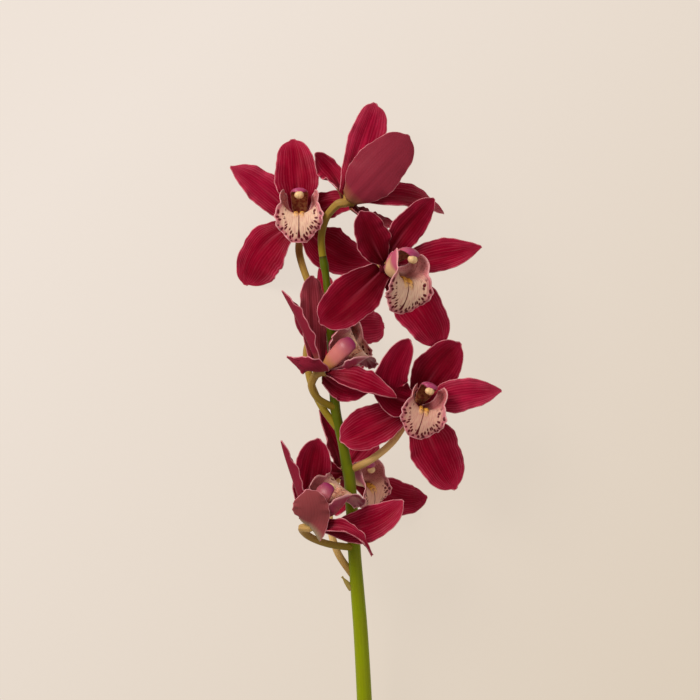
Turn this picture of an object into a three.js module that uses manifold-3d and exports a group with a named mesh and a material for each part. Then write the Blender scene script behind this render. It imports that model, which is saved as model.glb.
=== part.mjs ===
/**
 * A cut flower stem of a dark red cymbidium orchid with eight open blooms, lying on a table.
 *
 * Millimetres, +Z up from the table, +Y towards the tip of the stem. The stem lies along Y: its cut end
 * rests on the table and the flowering part is carried above it by the lowest petals. The origin is on the
 * table, below the middle of the whole stem's box.
 *
 * Each bloom is seven pieces: a dorsal sepal, two lateral sepals, two petals, a lip and a column. The main
 * stem, the flower stalks and the small bracts at their feet grow together, so they are one solid.
 */
import * as THREE from 'three';
import Module from 'manifold-3d';
import { mergeVertices } from 'three/addons/utils/BufferGeometryUtils.js';

const wasm = await Module();
wasm.setup();

// ---- driving dimensions (mm) --------------------------------------------------------------------

const BOX_MIDDLE = [8.036, -87.018]; // middle of the box seen from above, before it is moved to the origin

const TEPAL = {
  rows: 8, // steps from base to tip
  columns: 4, // steps from edge to edge
  middleThickness: 1.3,
  edgeThickness: 0.75,
  bluntEnd: 0.9, // half-width that is left at the very tip
  baseRing: 3.45, // distance of a tepal's base from the bloom's axis
  sepalDepth: -1.2, // sepals start this far along the bloom's axis
  petalDepth: 0.9, // and petals this far, in front of them
  keelDepth: 0.5, // the groove along the middle of the inner face
  keelWidth: 1.6,
  riseSharpness: 1.4, // power of the sine along which a tepal widens from its claw
};
const ROW_CROWDING = 1.35; // power that brings the rows of a sheet closer together near its base
const FLAT_SPOT_SHARE = 0.9; // share of a sheet's thickness that is left where it rests on the table

const LIP = {
  rows: 10,
  columns: 6,
  thickness: 0.9,
  // share of the length, then place along the bloom's axis and towards the dorsal sepal
  line: [
    [0, 0.8, -2.2], [0.18, 8, -5], [0.36, 15, -5.2], [0.5, 21, -4.8], [0.64, 25, -7.5], [0.82, 25.5, -15],
    [1, 21.5, -22],
  ],
  // share of the length, half-width along the curved section, half-angle that the section wraps (radians)
  section: [
    [0, 2.2, 1.0], [0.16, 13, 2.0], [0.3, 21.5, 2.25], [0.44, 23, 2.1], [0.54, 13, 1.2], [0.66, 13.8, 0.4],
    [0.78, 13.2, 0.0], [0.9, 9.6, -0.4], [1, 5, -0.4],
  ],
  frill: 0.9, // height of the waves in the front lobe's edge
  frillWaves: 4.5,
  frillLag: 0.8, // the right edge's waves run this much ahead of the left edge's (radians)
  frillFrom: 0.5, // share of the length where the waves begin
  frillOver: 0.15, // and over which they reach their full height
  frillPower: 2.5,
};

const COLUMN = {
  rows: 7,
  sides: 10,
  // share of the length, then place along the bloom's axis and towards the dorsal sepal
  line: [[0, 1.6, 1.2], [0.35, 8, 6], [0.7, 16.5, 10.5], [0.9, 21.5, 10.2], [1, 23, 8.8]],
  // share of the length, half-width, half-thickness
  section: [[0, 2.3, 1.6], [0.35, 3.4, 2.2], [0.75, 4.7, 2.5], [0.92, 4.1, 2.0], [1, 2.2, 0.9]],
  hollowSide: 0.55, // the face towards the lip is this much flatter than the back
  capAt: [22.4, 7.4], // the pale cap over the pollen, at the column's tip
  capRadius: 2.5,
  capSides: 8,
  capRows: 5,
};

const STALK_SIDES = 8;
const STALK_STEPS = 10;
const STALK_FOOT_RADIUS = 2;
const STALK_END_RADIUS = 2.8; // at the ovary, behind the flower
const STALK_NECK = 3; // the last stretch of a stalk, which is square to its flower

// The main stem from its cut end to the foot of the last stalk: x, y, z and radius of each point.
const MAIN_STEM = [
  [12.5, -310, 4.3, 4.6], [12, -296, 4.5, 4.6], [11, -262, 10, 4.5], [8, -195, 24, 4.2],
  [6, -158, 31, 4], [4, -132, 36, 3.8], [2.5, -112.5, 39, 3.6], [0, -73.5, 42, 3.2],
  [-2, -62.5, 42.5, 3], [-4, -51.5, 43, 2.7], [-7.5, -35.5, 43, 2.7], [-8.5, -27, 43, 2.7],
  [-10.5, 10, 42, 2.6], [-13, 38.5, 41, 2], [-15, 51.5, 41, 2.1],
];
const MAIN_STEM_SIDES = 10;
const MAIN_STEM_STEPS = 39;

/*
 * The blooms. `centre` is where the stalk meets the flower. `facing` is the way the flower looks, as a
 * bearing (degrees anticlockwise from +X, seen from above) and a height above the horizon. `crown` is
 * roughly the way to the dorsal sepal. A tepal is [middle, tip, width, shape]: two points of its midrib
 * from the centre, and its full width. `stalk` lists the stalk's points from the main stem, before the
 * last one at the flower.
 */
const BLOOMS = [
  {
    centre: [-28, 71.5, 22],
    facing: [90, 70],
    crown: [0, 1, 0],
    size: 0.95,
    dorsal_sepal: [[-1, 22.8, 6.5], [-3.9, 45.1, -0.7], 24.5,
      { depth: 1.1, cup: [0.6, 0.35], claw: 0.23, full: 4, round: 0.42 }],
    left_petal: [[-20.5, 18.5, -0.3], [-37.5, 30, 2.3], 18,
      { depth: -0.6, cup: [0.4, 0.4], claw: 0.27, widest: 0.45, round: 0.7 }],
    right_petal: [[17, 9, 2.5], [29.5, 7.5, 5.5], 18,
      { depth: -0.6, cup: [0.4, 0.4], claw: 0.24, round: 0.7 }],
    left_sepal: [[-21, -13.5, -9], [-31.3, -33.9, -24.6], 26,
      { depth: -2.6, cup: [0.3, 0.2], claw: 0.27, full: 4, round: 0.42 }],
    right_sepal: [[19, -16.5, -2.8], [39.6, -21.8, -11.8], 27, { depth: -2.4, cup: [0.3, 0.2], round: 0.55 }],
    stalk: [[-12, 15.5, 39], [-18.5, 28, 28], [-24.5, 41, 16], [-28.5, 54.5, 9], [-28, 64, 12]],
  },
  {
    centre: [-0.5, 82, 50],
    facing: [34.6, -27.5],
    crown: [0.21, 0.26, 1.19],
    size: 0.5,
    dorsal_sepal: [[13.8, 14.1, 16.3], [31.6, 33.8, 9.5], 27,
      { face: [0.1, 0.1, -1], depth: -1.7, cup: [0.5, 0.3], claw: 0.36, widest: 0.42, full: 5, round: 0.4 }],
    left_petal: [[5.7, 30.6, -15.3], [13.9, 53.6, -18], 21,
      { face: [0.2, -0.2, 1], depth: -0.1, cup: [0.3, 0.2], claw: 0.18, widest: 0.6, round: 0.4 }],
    right_petal: [[29.8, 2, 2.1], [52.5, -5.2, -30], 17,
      { face: [0, 0.4, 1], depth: 0.6, cup: [0.4, 0.3], claw: 0.18, widest: 0.5, full: 2.4 }],
    left_sepal: [[-7.1, 14.1, -19], [-17.9, 25.9, -16.5], 14,
      { face: [0.5, 0, 1], depth: -0.8, cup: [0.6, 0.8], claw: 0.19, widest: 0.7, full: 5, round: 0.35 }],
    right_sepal: [[12.2, -10.6, -4.5], [23.7, -11.9, -8], 15,
      { face: [0.2, 0.9, 0.45], depth: -1.1, cup: [0.5, 0.3], claw: 0.29 }],
    stalk: [[-14, 46.5, 41], [-15.6, 56, 41], [-15.5, 64.5, 42.5], [-12.5, 73.5, 46], [-7, 79.5, 50.5]],
  },
  {
    centre: [19.5, 45.5, 58],
    facing: [-19, 56],
    crown: [0.24, 0.97, 0],
    size: 1.02,
    dorsal_sepal: [[10.5, 19, 4], [25.5, 36, 1.7], 18,
      { face: [0.2, -0.2, 1], depth: -1.5, cup: [0.5, 0.3], widest: 0.6, full: 4, round: 0.5 }],
    left_petal: [[-7, 13, 10.5], [-13.5, 28, 17], 21,
      { cup: [0.4, 0.4], claw: 0.28, full: 4, round: 0.38 }],
    right_petal: [[27.5, 4.2, -1.9], [51.3, 10.6, -6.2], 18.5,
      { face: [0, 0.1, 1], depth: 1.2, cup: [0.4, 0.4], claw: 0.2, widest: 0.6, round: 0.7 }],
    left_sepal: [[-17.5, -16.5, 6.2], [-35, -30.5, 4.8], 26,
      { face: [-0.1, -0.1, 1], depth: -0.2, cup: [0.4, 0.2], claw: 0.45, full: 4, round: 0.4 }],
    right_sepal: [[18.5, -24, -2], [29.5, -43, -8.4], 26.5,
      { face: [0, 0, 1], depth: -1.8, cup: [0.3, 0.3], claw: 0.27, round: 0.5 }],
    stalk: [[-11, 15.5, 44], [-2, 28, 45], [9, 40.5, 45], [14.5, 46, 49.5]],
  },
  {
    centre: [-15, -11, 57],
    facing: [36, -6],
    crown: [-0.2, 0.25, 1],
    size: 0.95,
    dorsal_sepal: [[-7.6, 2.1, 13.5], [-18, 6.9, 9.3], 15,
      { face: [0.3, 0.3, -0.6], claw: 0.41, widest: 0.22, full: 2.5, round: 1 }],
    left_petal: [[-10.9, 24.3, 2.2], [-21.2, 42.2, 1.2], 16, { cup: [1, 1.2], depth: 0.7 }],
    right_petal: [[19.2, -7.8, 8.9], [39.1, -14.3, 4.2], 15,
      { face: [0.1, 0.6, 0.8], cup: [0.8, 1.2], claw: 0.23 }],
    left_sepal: [[-5, 26, -11.5], [-6, 50.5, -13.4], 13,
      { face: [0.5, 0.1, 0.8], depth: -1.4, cup: [0.4, 0.2], claw: 0.22, round: 0.4 }],
    right_sepal: [[11.5, -10.5, -7.5], [23.2, -12.3, -6.1], 15,
      { face: [0.1, 0.4, 0.9], claw: 0.28, depth: -0.8 }],
    stalk: [[-9, -32, 45], [-17.5, -26.5, 50], [-21, -19.5, 54], [-19, -14, 56]],
  },
  {
    centre: [37, -30, 50],
    facing: [20, 78],
    crown: [0.33, 0.95, 0],
    size: 0.94,
    dorsal_sepal: [[9, 17.5, 1], [22.5, 33, 0.9], 24.5,
      { depth: -1.8, cup: [0.4, 0.3], full: 4, round: 0.45 }],
    left_petal: [[-15.5, 10.5, 7.5], [-5.5, 34.8, 14], 21,
      { cup: [0.4, 0.5], claw: 0.5, widest: 0.2, full: 1.8, round: 0.42 }],
    right_petal: [[23.5, 5, 6], [45, 7.5, -0.8], 18.5, { cup: [0.4, 0.4], claw: 0.3, round: 0.7 }],
    left_sepal: [[-24, -11, -0.6], [-41.3, -19.2, -1], 23.5,
      { depth: -1.3, cup: [0.3, 0.2], claw: 0.22, widest: 0.6, full: 4, round: 0.4 }],
    right_sepal: [[9.3, -24.2, -4], [20.5, -45.5, -6], 26.5, { cup: [0.3, 0.2], full: 4, round: 0.45 }],
    stalk: [[0.5, -66, 43], [12, -60, 42], [23, -51, 40], [30, -41, 40], [35, -33.5, 44]],
  },
  {
    centre: [-20, -93.5, 69],
    facing: [54, -4],
    crown: [-0.45, 0.2, 0.85],
    size: 0.95,
    dorsal_sepal: [[-1.2, 8.1, 11.6], [-2.8, 17.7, 14.1], 20,
      { face: [0.1, 0.3, -1], depth: -1.5, cup: [0.5, 0.4], claw: 0.45, widest: 0.4, full: 4, round: 0.42 }],
    left_petal: [[-8.6, 19.9, 3.7], [-16.5, 43.5, 6.9], 14, { depth: 0.2, cup: [1, 1.4], claw: 0.32 }],
    right_petal: [[27.3, -2.1, -5.9], [47.8, 11.1, -5], 21,
      { face: [0, 0.3, 1], depth: 0.1, cup: [0.5, 0.3], claw: 0.18, widest: 0.6, round: 0.5 }],
    left_sepal: [[-1.2, 23.8, -12.4], [2.6, 44, -15.9], 21,
      { face: [0.3, 0.1, 1], depth: -0.5, cup: [0.3, 0.3], claw: 0.26, full: 4, round: 0.4 }],
    right_sepal: [[20.5, -3.2, 8.2], [31.6, -16.8, -1.6], 9.5,
      { face: [0, 0.5, 0.8], depth: -1, cup: [1, 1.4], claw: 0.19, widest: 0.3, full: 2.2, round: 1.1 }],
    stalk: [[0.5, -109, 42], [-12, -106, 51], [-22, -101.5, 59], [-26, -96.5, 65]],
  },
  {
    centre: [-3, -68.5, 19],
    facing: [-15, 38],
    crown: [-0.26, 0.97, 0],
    size: 0.85,
    dorsal_sepal: [[-6.1, 15.6, 2.9], [-13.3, 34, 5.2], 14, { depth: -2, cup: [0.6, 1], claw: 0.28 }],
    left_petal: [[-10.7, 1, 8.2], [-20, 5, 8.4], 14, { depth: 1.1, claw: 0.22 }],
    right_petal: [[11.4, 12.6, 0.1], [18.4, 18.1, 0.9], 17, { face: [0, 0, 1], depth: 1.3, claw: 0.32 }],
    left_sepal: [[1.4, -12.6, -18.3], [-4.5, -24, -18.4], 10, { face: [0, 0, 1], depth: -2.6, claw: 0.18 }],
    right_sepal: [[27.1, -13.9, -8.1], [45.9, -14.6, -21.3], 21, { face: [0, 0, 1], depth: 0.1, claw: 0.2 }],
    stalk: [[-1, -125.5, 38], [-7.5, -110.5, 34], [-11.5, -93.5, 25], [-9.5, -78, 18]],
  },
  {
    centre: [-3, 14, 16],
    facing: [-80, 60],
    crown: [-0.24, 0.97, 0],
    size: 0.85,
    dorsal_sepal: [[-8.5, 16, 1], [-13.7, 31.7, -9.4], 12, { claw: 0.33 }],
    left_petal: [[-15.7, -2.5, 2.9], [-27, 5.5, 4.1], 16, { face: [0.3, 0, -1], depth: 0.7, claw: 0.22 }],
    right_petal: [[12, -1, -8], [21.6, -0.3, -17.9], 19,
      { face: [0, 0, 1], depth: -1.4, full: 5, round: 0.35 }],
    left_sepal: [[-11.3, -13.9, -7], [-15, -22, -13], 13, { face: [0, 0, 1], claw: 0.2 }],
    right_sepal: [[6, -15, -12.7], [9, -25, -13.8], 13, { face: [0, 0, 1], depth: -1.9, claw: 0.18 }],
    stalk: [[-9, -44, 42], [-16.5, -29.5, 40], [-22.5, -15, 28], [-24, 1, 14],
      [-17, 12.5, 7.5], [-6.5, 15.5, 8.5]],
  },
];

const TEPAL_NAMES = ['dorsal_sepal', 'left_petal', 'right_petal', 'left_sepal', 'right_sepal'];

// A tepal's shape where its own entry doesn't say otherwise.
const TEPAL_SHAPE = {
  face: null, // the way its inner face looks; by default that of the bloom
  depth: null, // how far its base is along the bloom's axis
  cup: [0.5, 0.3], // half-angle of the cross-section's arc, at the base and at the tip (radians)
  claw: 0.28, // width of the base as a share of the full width
  widest: 0.5, // share of the length where it is widest
  full: 3.2, // the larger, the nearer to the tip it stays wide
  round: 0.6, // the smaller, the blunter the tip
};
const WAVE = { height: 0.6, count: 3, lag: 1.3, power: 3 }; // the gentle waves in a tepal's edges

// The small bract at the foot of the lowest stalk: foot on the main stem, then tip, both as x, y, z.
const BRACTS = [[[1, -132, 36.5], [-4.5, -125, 38]]];
const BRACT = { width: 3.6, tipWidth: 1, rise: 1.2, thickness: 0.9, rows: 3, columns: 4 };

// ---- materials ----------------------------------------------------------------------------------

const material = (color, roughness) => new THREE.MeshStandardMaterial({ color, roughness, metalness: 0 });
const MATERIALS = {
  tepal: material('#84162c', 0.5),
  lip: material('#d9b59c', 0.55),
  column: material('#b6685b', 0.5),
  stem: material('#5f6f08', 0.45),
};

// ---- small helpers ------------------------------------------------------------------------------

const SMALL_STEP = 1e-3; // for slopes
const vector = (p) => new THREE.Vector3(...p);
const mix = (a, b, t) => a + (b - a) * t;

/** The direction with this bearing and height, both in degrees. */
function direction([bearing, height]) {
  const b = THREE.MathUtils.degToRad(bearing);
  const h = THREE.MathUtils.degToRad(height);
  return new THREE.Vector3(Math.cos(b) * Math.cos(h), Math.sin(b) * Math.cos(h), Math.sin(h));
}

/** The part of `v` at right angles to the unit vector `axis`, as a unit vector. */
function across(v, axis) {
  return v.clone().addScaledVector(axis, -v.dot(axis)).normalize();
}

/** The row of `keys` just before `s`, its successor, and how far between them `s` is. */
function bracket(keys, s) {
  let i = 0;
  while (i < keys.length - 2 && s >= keys[i + 1][0]) i += 1;
  return [i, (s - keys[i][0]) / (keys[i + 1][0] - keys[i][0])];
}

/** A value read from rows of [place, value, ...], eased a little between the rows. */
function eased(keys, column, s) {
  const [i, t] = bracket(keys, s);
  const soft = 0.5 * t + 0.5 * t * t * (3 - 2 * t);
  return mix(keys[i][column], keys[i + 1][column], soft);
}

/** A smooth curve value through rows of [place, value, ...], with the slopes taken from the neighbours. */
function smooth(keys, column, s) {
  const [i, t] = bracket(keys, s);
  const slope = (k) => {
    if (k === 0) return (keys[1][column] - keys[0][column]) / (keys[1][0] - keys[0][0]);
    const [before, after] = [keys[k - 1], keys[Math.min(k + 1, keys.length - 1)]];
    return (after[column] - before[column]) / (after[0] - before[0]);
  };
  const h = keys[i + 1][0] - keys[i][0];
  const [t2, t3] = [t * t, t * t * t];
  return (2 * t3 - 3 * t2 + 1) * keys[i][column] + (t3 - 2 * t2 + t) * h * slope(i)
    + (3 * t2 - 2 * t3) * keys[i + 1][column] + (t3 - t2) * h * slope(i + 1);
}

/** The way a smooth curve of [share, along, high] rows runs at `s`, as a unit vector of two numbers. */
function slopeOf(keys, s) {
  const [a, b] = [Math.max(0, s - SMALL_STEP), Math.min(1, s + SMALL_STEP)];
  const along = smooth(keys, 1, b) - smooth(keys, 1, a);
  const high = smooth(keys, 2, b) - smooth(keys, 2, a);
  return new THREE.Vector2(along, high).normalize();
}

/** A closed geometry from shared points and triangles. */
function closedGeometry(points, triangles) {
  const geometry = new THREE.BufferGeometry();
  const places = points.flatMap((p) => p.toArray());
  geometry.setAttribute('position', new THREE.Float32BufferAttribute(places, 3));
  geometry.setIndex(triangles.flat());
  return geometry;
}

/**
 * A sheet of plant tissue: `inner(u, v)` is its inner face, u from base to tip and v from -1 to 1 across.
 * The outer face lies `thickness(u, v)` behind it, both faces are cut into the same triangles, and a narrow
 * strip all round joins them. No point goes below `floor`, so a tip that touches the table has a flat spot.
 */
function sheet(inner, thickness, rows, columns, floor = -Infinity) {
  const points = [];
  for (let side = 0; side < 2; side += 1) {
    for (let i = 0; i <= rows; i += 1) {
      for (let j = 0; j <= columns; j += 1) {
        const u = 1 - (1 - i / rows) ** ROW_CROWDING;
        const v = (2 * j) / columns - 1;
        const [u0, u1] = [Math.max(0, u - SMALL_STEP), Math.min(1, u + SMALL_STEP)];
        const along = inner(u1, v).sub(inner(u0, v));
        const [v0, v1] = [Math.max(-1, v - SMALL_STEP), Math.min(1, v + SMALL_STEP)];
        const sideways = inner(u, v1).sub(inner(u, v0));
        const normal = along.cross(sideways).normalize();
        const depth = side === 0 ? 0 : thickness(u, v);
        const p = inner(u, v).addScaledVector(normal, -depth);
        p.z = Math.max(p.z, floor + (side === 0 ? thickness(u, v) * FLAT_SPOT_SHARE : 0));
        points.push(p);
      }
    }
  }
  const at = (side, i, j) => (side * (rows + 1) + i) * (columns + 1) + j;
  const triangles = [];
  const quad = (a, b, c, d) => triangles.push([a, b, c], [a, c, d]);
  for (let i = 0; i < rows; i += 1) {
    for (let j = 0; j < columns; j += 1) {
      const [a, b, c, d] = [[i, j], [i + 1, j], [i + 1, j + 1], [i, j + 1]];
      triangles.push([at(0, ...a), at(0, ...b), at(0, ...c)], [at(0, ...a), at(0, ...c), at(0, ...d)]);
      triangles.push([at(1, ...a), at(1, ...c), at(1, ...b)], [at(1, ...a), at(1, ...d), at(1, ...c)]);
    }
    quad(at(0, i, 0), at(1, i, 0), at(1, i + 1, 0), at(0, i + 1, 0));
    quad(at(0, i + 1, columns), at(1, i + 1, columns), at(1, i, columns), at(0, i, columns));
  }
  for (let j = 0; j < columns; j += 1) {
    quad(at(0, 0, j + 1), at(1, 0, j + 1), at(1, 0, j), at(0, 0, j));
    quad(at(0, rows, j), at(1, rows, j), at(1, rows, j + 1), at(0, rows, j + 1));
  }
  return closedGeometry(points, triangles);
}

/** A closed tube from rings of points, with flat ends. */
function ringed(rings) {
  const sides = rings[0].length;
  const points = rings.flat();
  const triangles = [];
  for (let i = 0; i < rings.length - 1; i += 1) {
    for (let j = 0; j < sides; j += 1) {
      const [a, b] = [i * sides + j, i * sides + ((j + 1) % sides)];
      triangles.push([a, b, b + sides], [a, b + sides, a + sides]);
    }
  }
  const last = (rings.length - 1) * sides;
  for (let j = 1; j < sides - 1; j += 1) {
    triangles.push([0, j + 1, j], [last, last + j, last + j + 1]);
  }
  return closedGeometry(points, triangles);
}

/** A round stalk through points of [x, y, z, radius]. Nothing of it goes below the table. */
function stalk(points, steps, sides) {
  const places = points.map(([x, y, z]) => new THREE.Vector3(x, y, z));
  const curve = new THREE.CatmullRomCurve3(places, false, 'catmullrom');
  const rings = [];
  let side = new THREE.Vector3(0, 0, 1);
  for (let i = 0; i <= steps; i += 1) {
    const t = i / steps;
    const tangent = curve.getTangent(t);
    side = across(side, tangent);
    const other = tangent.clone().cross(side);
    const place = t * (points.length - 1);
    const k = Math.min(Math.floor(place), points.length - 2);
    const radius = mix(points[k][3], points[k + 1][3], place - k);
    const ring = [];
    for (let j = 0; j < sides; j += 1) {
      const turn = (2 * Math.PI * (j + 0.5)) / sides;
      const p = curve.getPoint(t);
      p.addScaledVector(side, radius * Math.cos(turn)).addScaledVector(other, radius * Math.sin(turn));
      p.z = Math.max(p.z, 0);
      ring.push(p);
    }
    rings.push(ring);
  }
  return ringed(rings);
}

/** The solid of a geometry, for joining. */
function solid(geometry) {
  const bare = geometry.clone();
  bare.deleteAttribute('normal');
  bare.deleteAttribute('uv');
  const merged = mergeVertices(bare, 1e-5);
  return new wasm.Manifold(new wasm.Mesh({
    numProp: 3,
    vertProperties: Float32Array.from(merged.attributes.position.array),
    triVerts: Uint32Array.from(merged.index.array),
  }));
}

/** The geometry of a solid. */
function geometryOf(manifold) {
  const mesh = manifold.getMesh();
  const geometry = new THREE.BufferGeometry();
  geometry.setAttribute('position', new THREE.Float32BufferAttribute(mesh.vertProperties, 3));
  geometry.setIndex(Array.from(mesh.triVerts));
  return geometry;
}

function named(name, geometry, look) {
  const mesh = new THREE.Mesh(geometry, look);
  mesh.name = name;
  geometry.computeVertexNormals();
  return mesh;
}

// ---- the parts of a bloom -----------------------------------------------------------------------

/** The bloom's own directions: forward is the way it looks, crown the way to its dorsal sepal. */
function bloomAxes(bloom) {
  const forward = direction(bloom.facing);
  const crown = across(vector(bloom.crown), forward);
  return { forward, crown, right: crown.clone().cross(forward) };
}

/**
 * The inner face of a sepal or petal. Its midrib is a parabola from the base through the middle to the tip.
 * Its half-width rises along a sine from the narrow claw to the widest place, then falls as
 * (1 - u^full)^round. Each cross-section is an arc that cups by `cup` radians to each side, with a groove
 * in the middle and waves that grow towards the edges.
 */
function tepalFace([middle, tip, width, given], layer, axes) {
  const shape = { ...TEPAL_SHAPE, ...given };
  const depth = shape.depth ?? layer;
  const m = vector(middle);
  const end = vector(tip);
  const base = across(m, axes.forward).multiplyScalar(TEPAL.baseRing).addScaledVector(axes.forward, depth);
  const control = m.clone().multiplyScalar(2).addScaledVector(base, -0.5).addScaledVector(end, -0.5);
  const face = shape.face ? vector(shape.face).normalize() : axes.forward;
  return (u, v) => {
    const rib = base.clone().multiplyScalar((1 - u) ** 2).addScaledVector(control, 2 * u * (1 - u));
    rib.addScaledVector(end, u * u);
    const tangent = control.clone().sub(base).multiplyScalar(1 - u);
    tangent.addScaledVector(end.clone().sub(control), u).normalize();
    const up = across(face, tangent);
    const sideways = up.clone().cross(tangent);
    const rise = Math.sin((Math.PI / 2) * Math.min(1, u / shape.widest)) ** TEPAL.riseSharpness;
    const fall = Math.max(0, 1 - u ** shape.full) ** shape.round;
    const half = Math.max((width / 2) * mix(shape.claw, 1, rise) * fall, TEPAL.bluntEnd);
    const cup = mix(shape.cup[0], shape.cup[1], u);
    const x = (half * Math.sin(v * cup)) / cup;
    const wave = WAVE.height * Math.sqrt(Math.sin(Math.PI * u)) * Math.abs(v) ** WAVE.power
      * Math.sin(2 * Math.PI * WAVE.count * u + (v > 0 ? WAVE.lag : 0));
    const keel = TEPAL.keelDepth * Math.exp(-((x / TEPAL.keelWidth) ** 2)) * Math.sqrt(1 - u);
    const height = (half * (1 - Math.cos(v * cup))) / cup + wave - keel;
    return rib.addScaledVector(sideways, x).addScaledVector(up, height);
  };
}

/** A sepal or petal, thickest along its middle. */
function tepal(spec, layer, axes, floor) {
  const thickness = (u, v) => mix(TEPAL.middleThickness, TEPAL.edgeThickness, Math.max(v * v, u ** 4));
  return sheet(tepalFace(spec, layer, axes), thickness, TEPAL.rows, TEPAL.columns, floor);
}

/**
 * The lip in the bloom's own directions (right, crown, forward). A line in the bloom's plane of symmetry
 * runs out below the column and turns down at the front; arcs across it make the two raised side lobes and
 * then the wide front lobe, whose edge is frilled.
 */
function lipGeometry() {
  const inner = (s, v) => {
    const [along, high] = [smooth(LIP.line, 1, s), smooth(LIP.line, 2, s)];
    const slope = slopeOf(LIP.line, s);
    const half = eased(LIP.section, 1, s);
    const turn = eased(LIP.section, 2, s);
    const wrap = Math.abs(turn) < SMALL_STEP ? SMALL_STEP : turn;
    const strength = THREE.MathUtils.clamp((s - LIP.frillFrom) / LIP.frillOver, 0, 1);
    const frill = LIP.frill * strength * Math.abs(v) ** LIP.frillPower
      * Math.sin(2 * Math.PI * LIP.frillWaves * s + (v > 0 ? LIP.frillLag : 0));
    const lift = (half * (1 - Math.cos(v * wrap))) / wrap + frill;
    const x = (half * Math.sin(v * wrap)) / wrap;
    return new THREE.Vector3(x, high + lift * slope.x, along - lift * slope.y);
  };
  const mirrored = (s, v) => inner(s, -v); // so that the thickness grows towards the column
  return sheet(mirrored, () => LIP.thickness, LIP.rows, LIP.columns);
}

/** The column with its pale cap, in the bloom's own directions (right, crown, forward). */
function columnGeometry() {
  const rings = [];
  for (let i = 0; i <= COLUMN.rows; i += 1) {
    const s = i / COLUMN.rows;
    const slope = slopeOf(COLUMN.line, s);
    const [wide, thick] = [eased(COLUMN.section, 1, s), eased(COLUMN.section, 2, s)];
    const ring = [];
    for (let j = 0; j < COLUMN.sides; j += 1) {
      const turn = (2 * Math.PI * j) / COLUMN.sides;
      const lift = thick * Math.sin(turn) * (Math.sin(turn) < 0 ? COLUMN.hollowSide : 1);
      ring.push(new THREE.Vector3(wide * Math.cos(turn), smooth(COLUMN.line, 2, s) + lift * slope.x,
        smooth(COLUMN.line, 1, s) - lift * slope.y));
    }
    rings.push(ring);
  }
  const cap = new THREE.SphereGeometry(COLUMN.capRadius, COLUMN.capSides, COLUMN.capRows);
  cap.translate(0, COLUMN.capAt[1], COLUMN.capAt[0]);
  return geometryOf(solid(ringed(rings)).add(solid(cap)));
}

/** One bloom: its pieces in a group at the place where its stalk ends. */
function buildBloom(bloom, number, lip, column) {
  const group = new THREE.Group();
  group.position.copy(vector(bloom.centre));
  const axes = bloomAxes(bloom);
  const tepals = new THREE.Group();
  for (const name of TEPAL_NAMES) {
    const layer = name.endsWith('petal') ? TEPAL.petalDepth : TEPAL.sepalDepth;
    const geometry = tepal(bloom[name], layer, axes, -bloom.centre[2]);
    tepals.add(named(`bloom_${number}_${name}`, geometry, MATERIALS.tepal));
  }
  const turned = new THREE.Group();
  const turn = new THREE.Matrix4().makeBasis(axes.right, axes.crown, axes.forward);
  turned.quaternion.setFromRotationMatrix(turn);
  turned.scale.setScalar(bloom.size);
  turned.add(named(`bloom_${number}_lip`, lip, MATERIALS.lip));
  turned.add(named(`bloom_${number}_column`, column, MATERIALS.column));
  group.add(tepals, turned);
  return group;
}

// ---- the stem -----------------------------------------------------------------------------------

/** The stalk of a bloom, which swells into the ovary behind the flower and ends square to it. */
function bloomStalk(bloom) {
  const axes = bloomAxes(bloom);
  const end = vector(bloom.centre);
  const neck = end.clone().addScaledVector(axes.forward, -STALK_NECK);
  const route = [...bloom.stalk, neck.toArray(), end.toArray()];
  const last = route.length - 1;
  const points = route.map((p, i) => [...p, mix(STALK_FOOT_RADIUS, STALK_END_RADIUS, (i / last) ** 2)]);
  return stalk(points, STALK_STEPS, STALK_SIDES);
}

/** A small pointed scale that hugs the stem at the foot of a stalk. */
function bract([foot, tip]) {
  const base = vector(foot);
  const end = vector(tip);
  const tangent = end.clone().sub(base).normalize();
  const up = across(new THREE.Vector3(0, 0, 1), tangent);
  const sideways = up.clone().cross(tangent);
  const inner = (u, v) => {
    const half = Math.max(BRACT.width * (1 - u ** 2), BRACT.tipWidth) / 2;
    const rise = BRACT.rise * (1 - v * v) * (1 - u);
    return base.clone().lerp(end, u).addScaledVector(sideways, half * v).addScaledVector(up, rise);
  };
  return sheet(inner, () => BRACT.thickness, BRACT.rows, BRACT.columns);
}

function buildStem() {
  let whole = solid(stalk(MAIN_STEM, MAIN_STEM_STEPS, MAIN_STEM_SIDES));
  for (const bloom of BLOOMS) whole = whole.add(solid(bloomStalk(bloom)));
  for (const scale of BRACTS) whole = whole.add(solid(bract(scale)));
  return named('stem', geometryOf(whole), MATERIALS.stem);
}

// ---- assembly -----------------------------------------------------------------------------------

const orchid = new THREE.Group();
orchid.position.set(-BOX_MIDDLE[0], -BOX_MIDDLE[1], 0);
orchid.add(buildStem());
const lip = lipGeometry();
const column = columnGeometry();
BLOOMS.forEach((bloom, i) => orchid.add(buildBloom(bloom, i + 1, lip, column)));

export default orchid;
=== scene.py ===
"""A cut stem of a dark red cymbidium orchid, lying on a pale table.

Each sepal, petal, lip and column of the eight blooms, and the stem with its stalks and its bract, is a
surface worked out with numpy from sizes in millimetres. +Z is up from the table, +Y runs towards the tip.
"""

import logging
from dataclasses import dataclass, field, replace
from enum import Enum
from typing import Any, Callable, Mapping, Sequence

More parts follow.
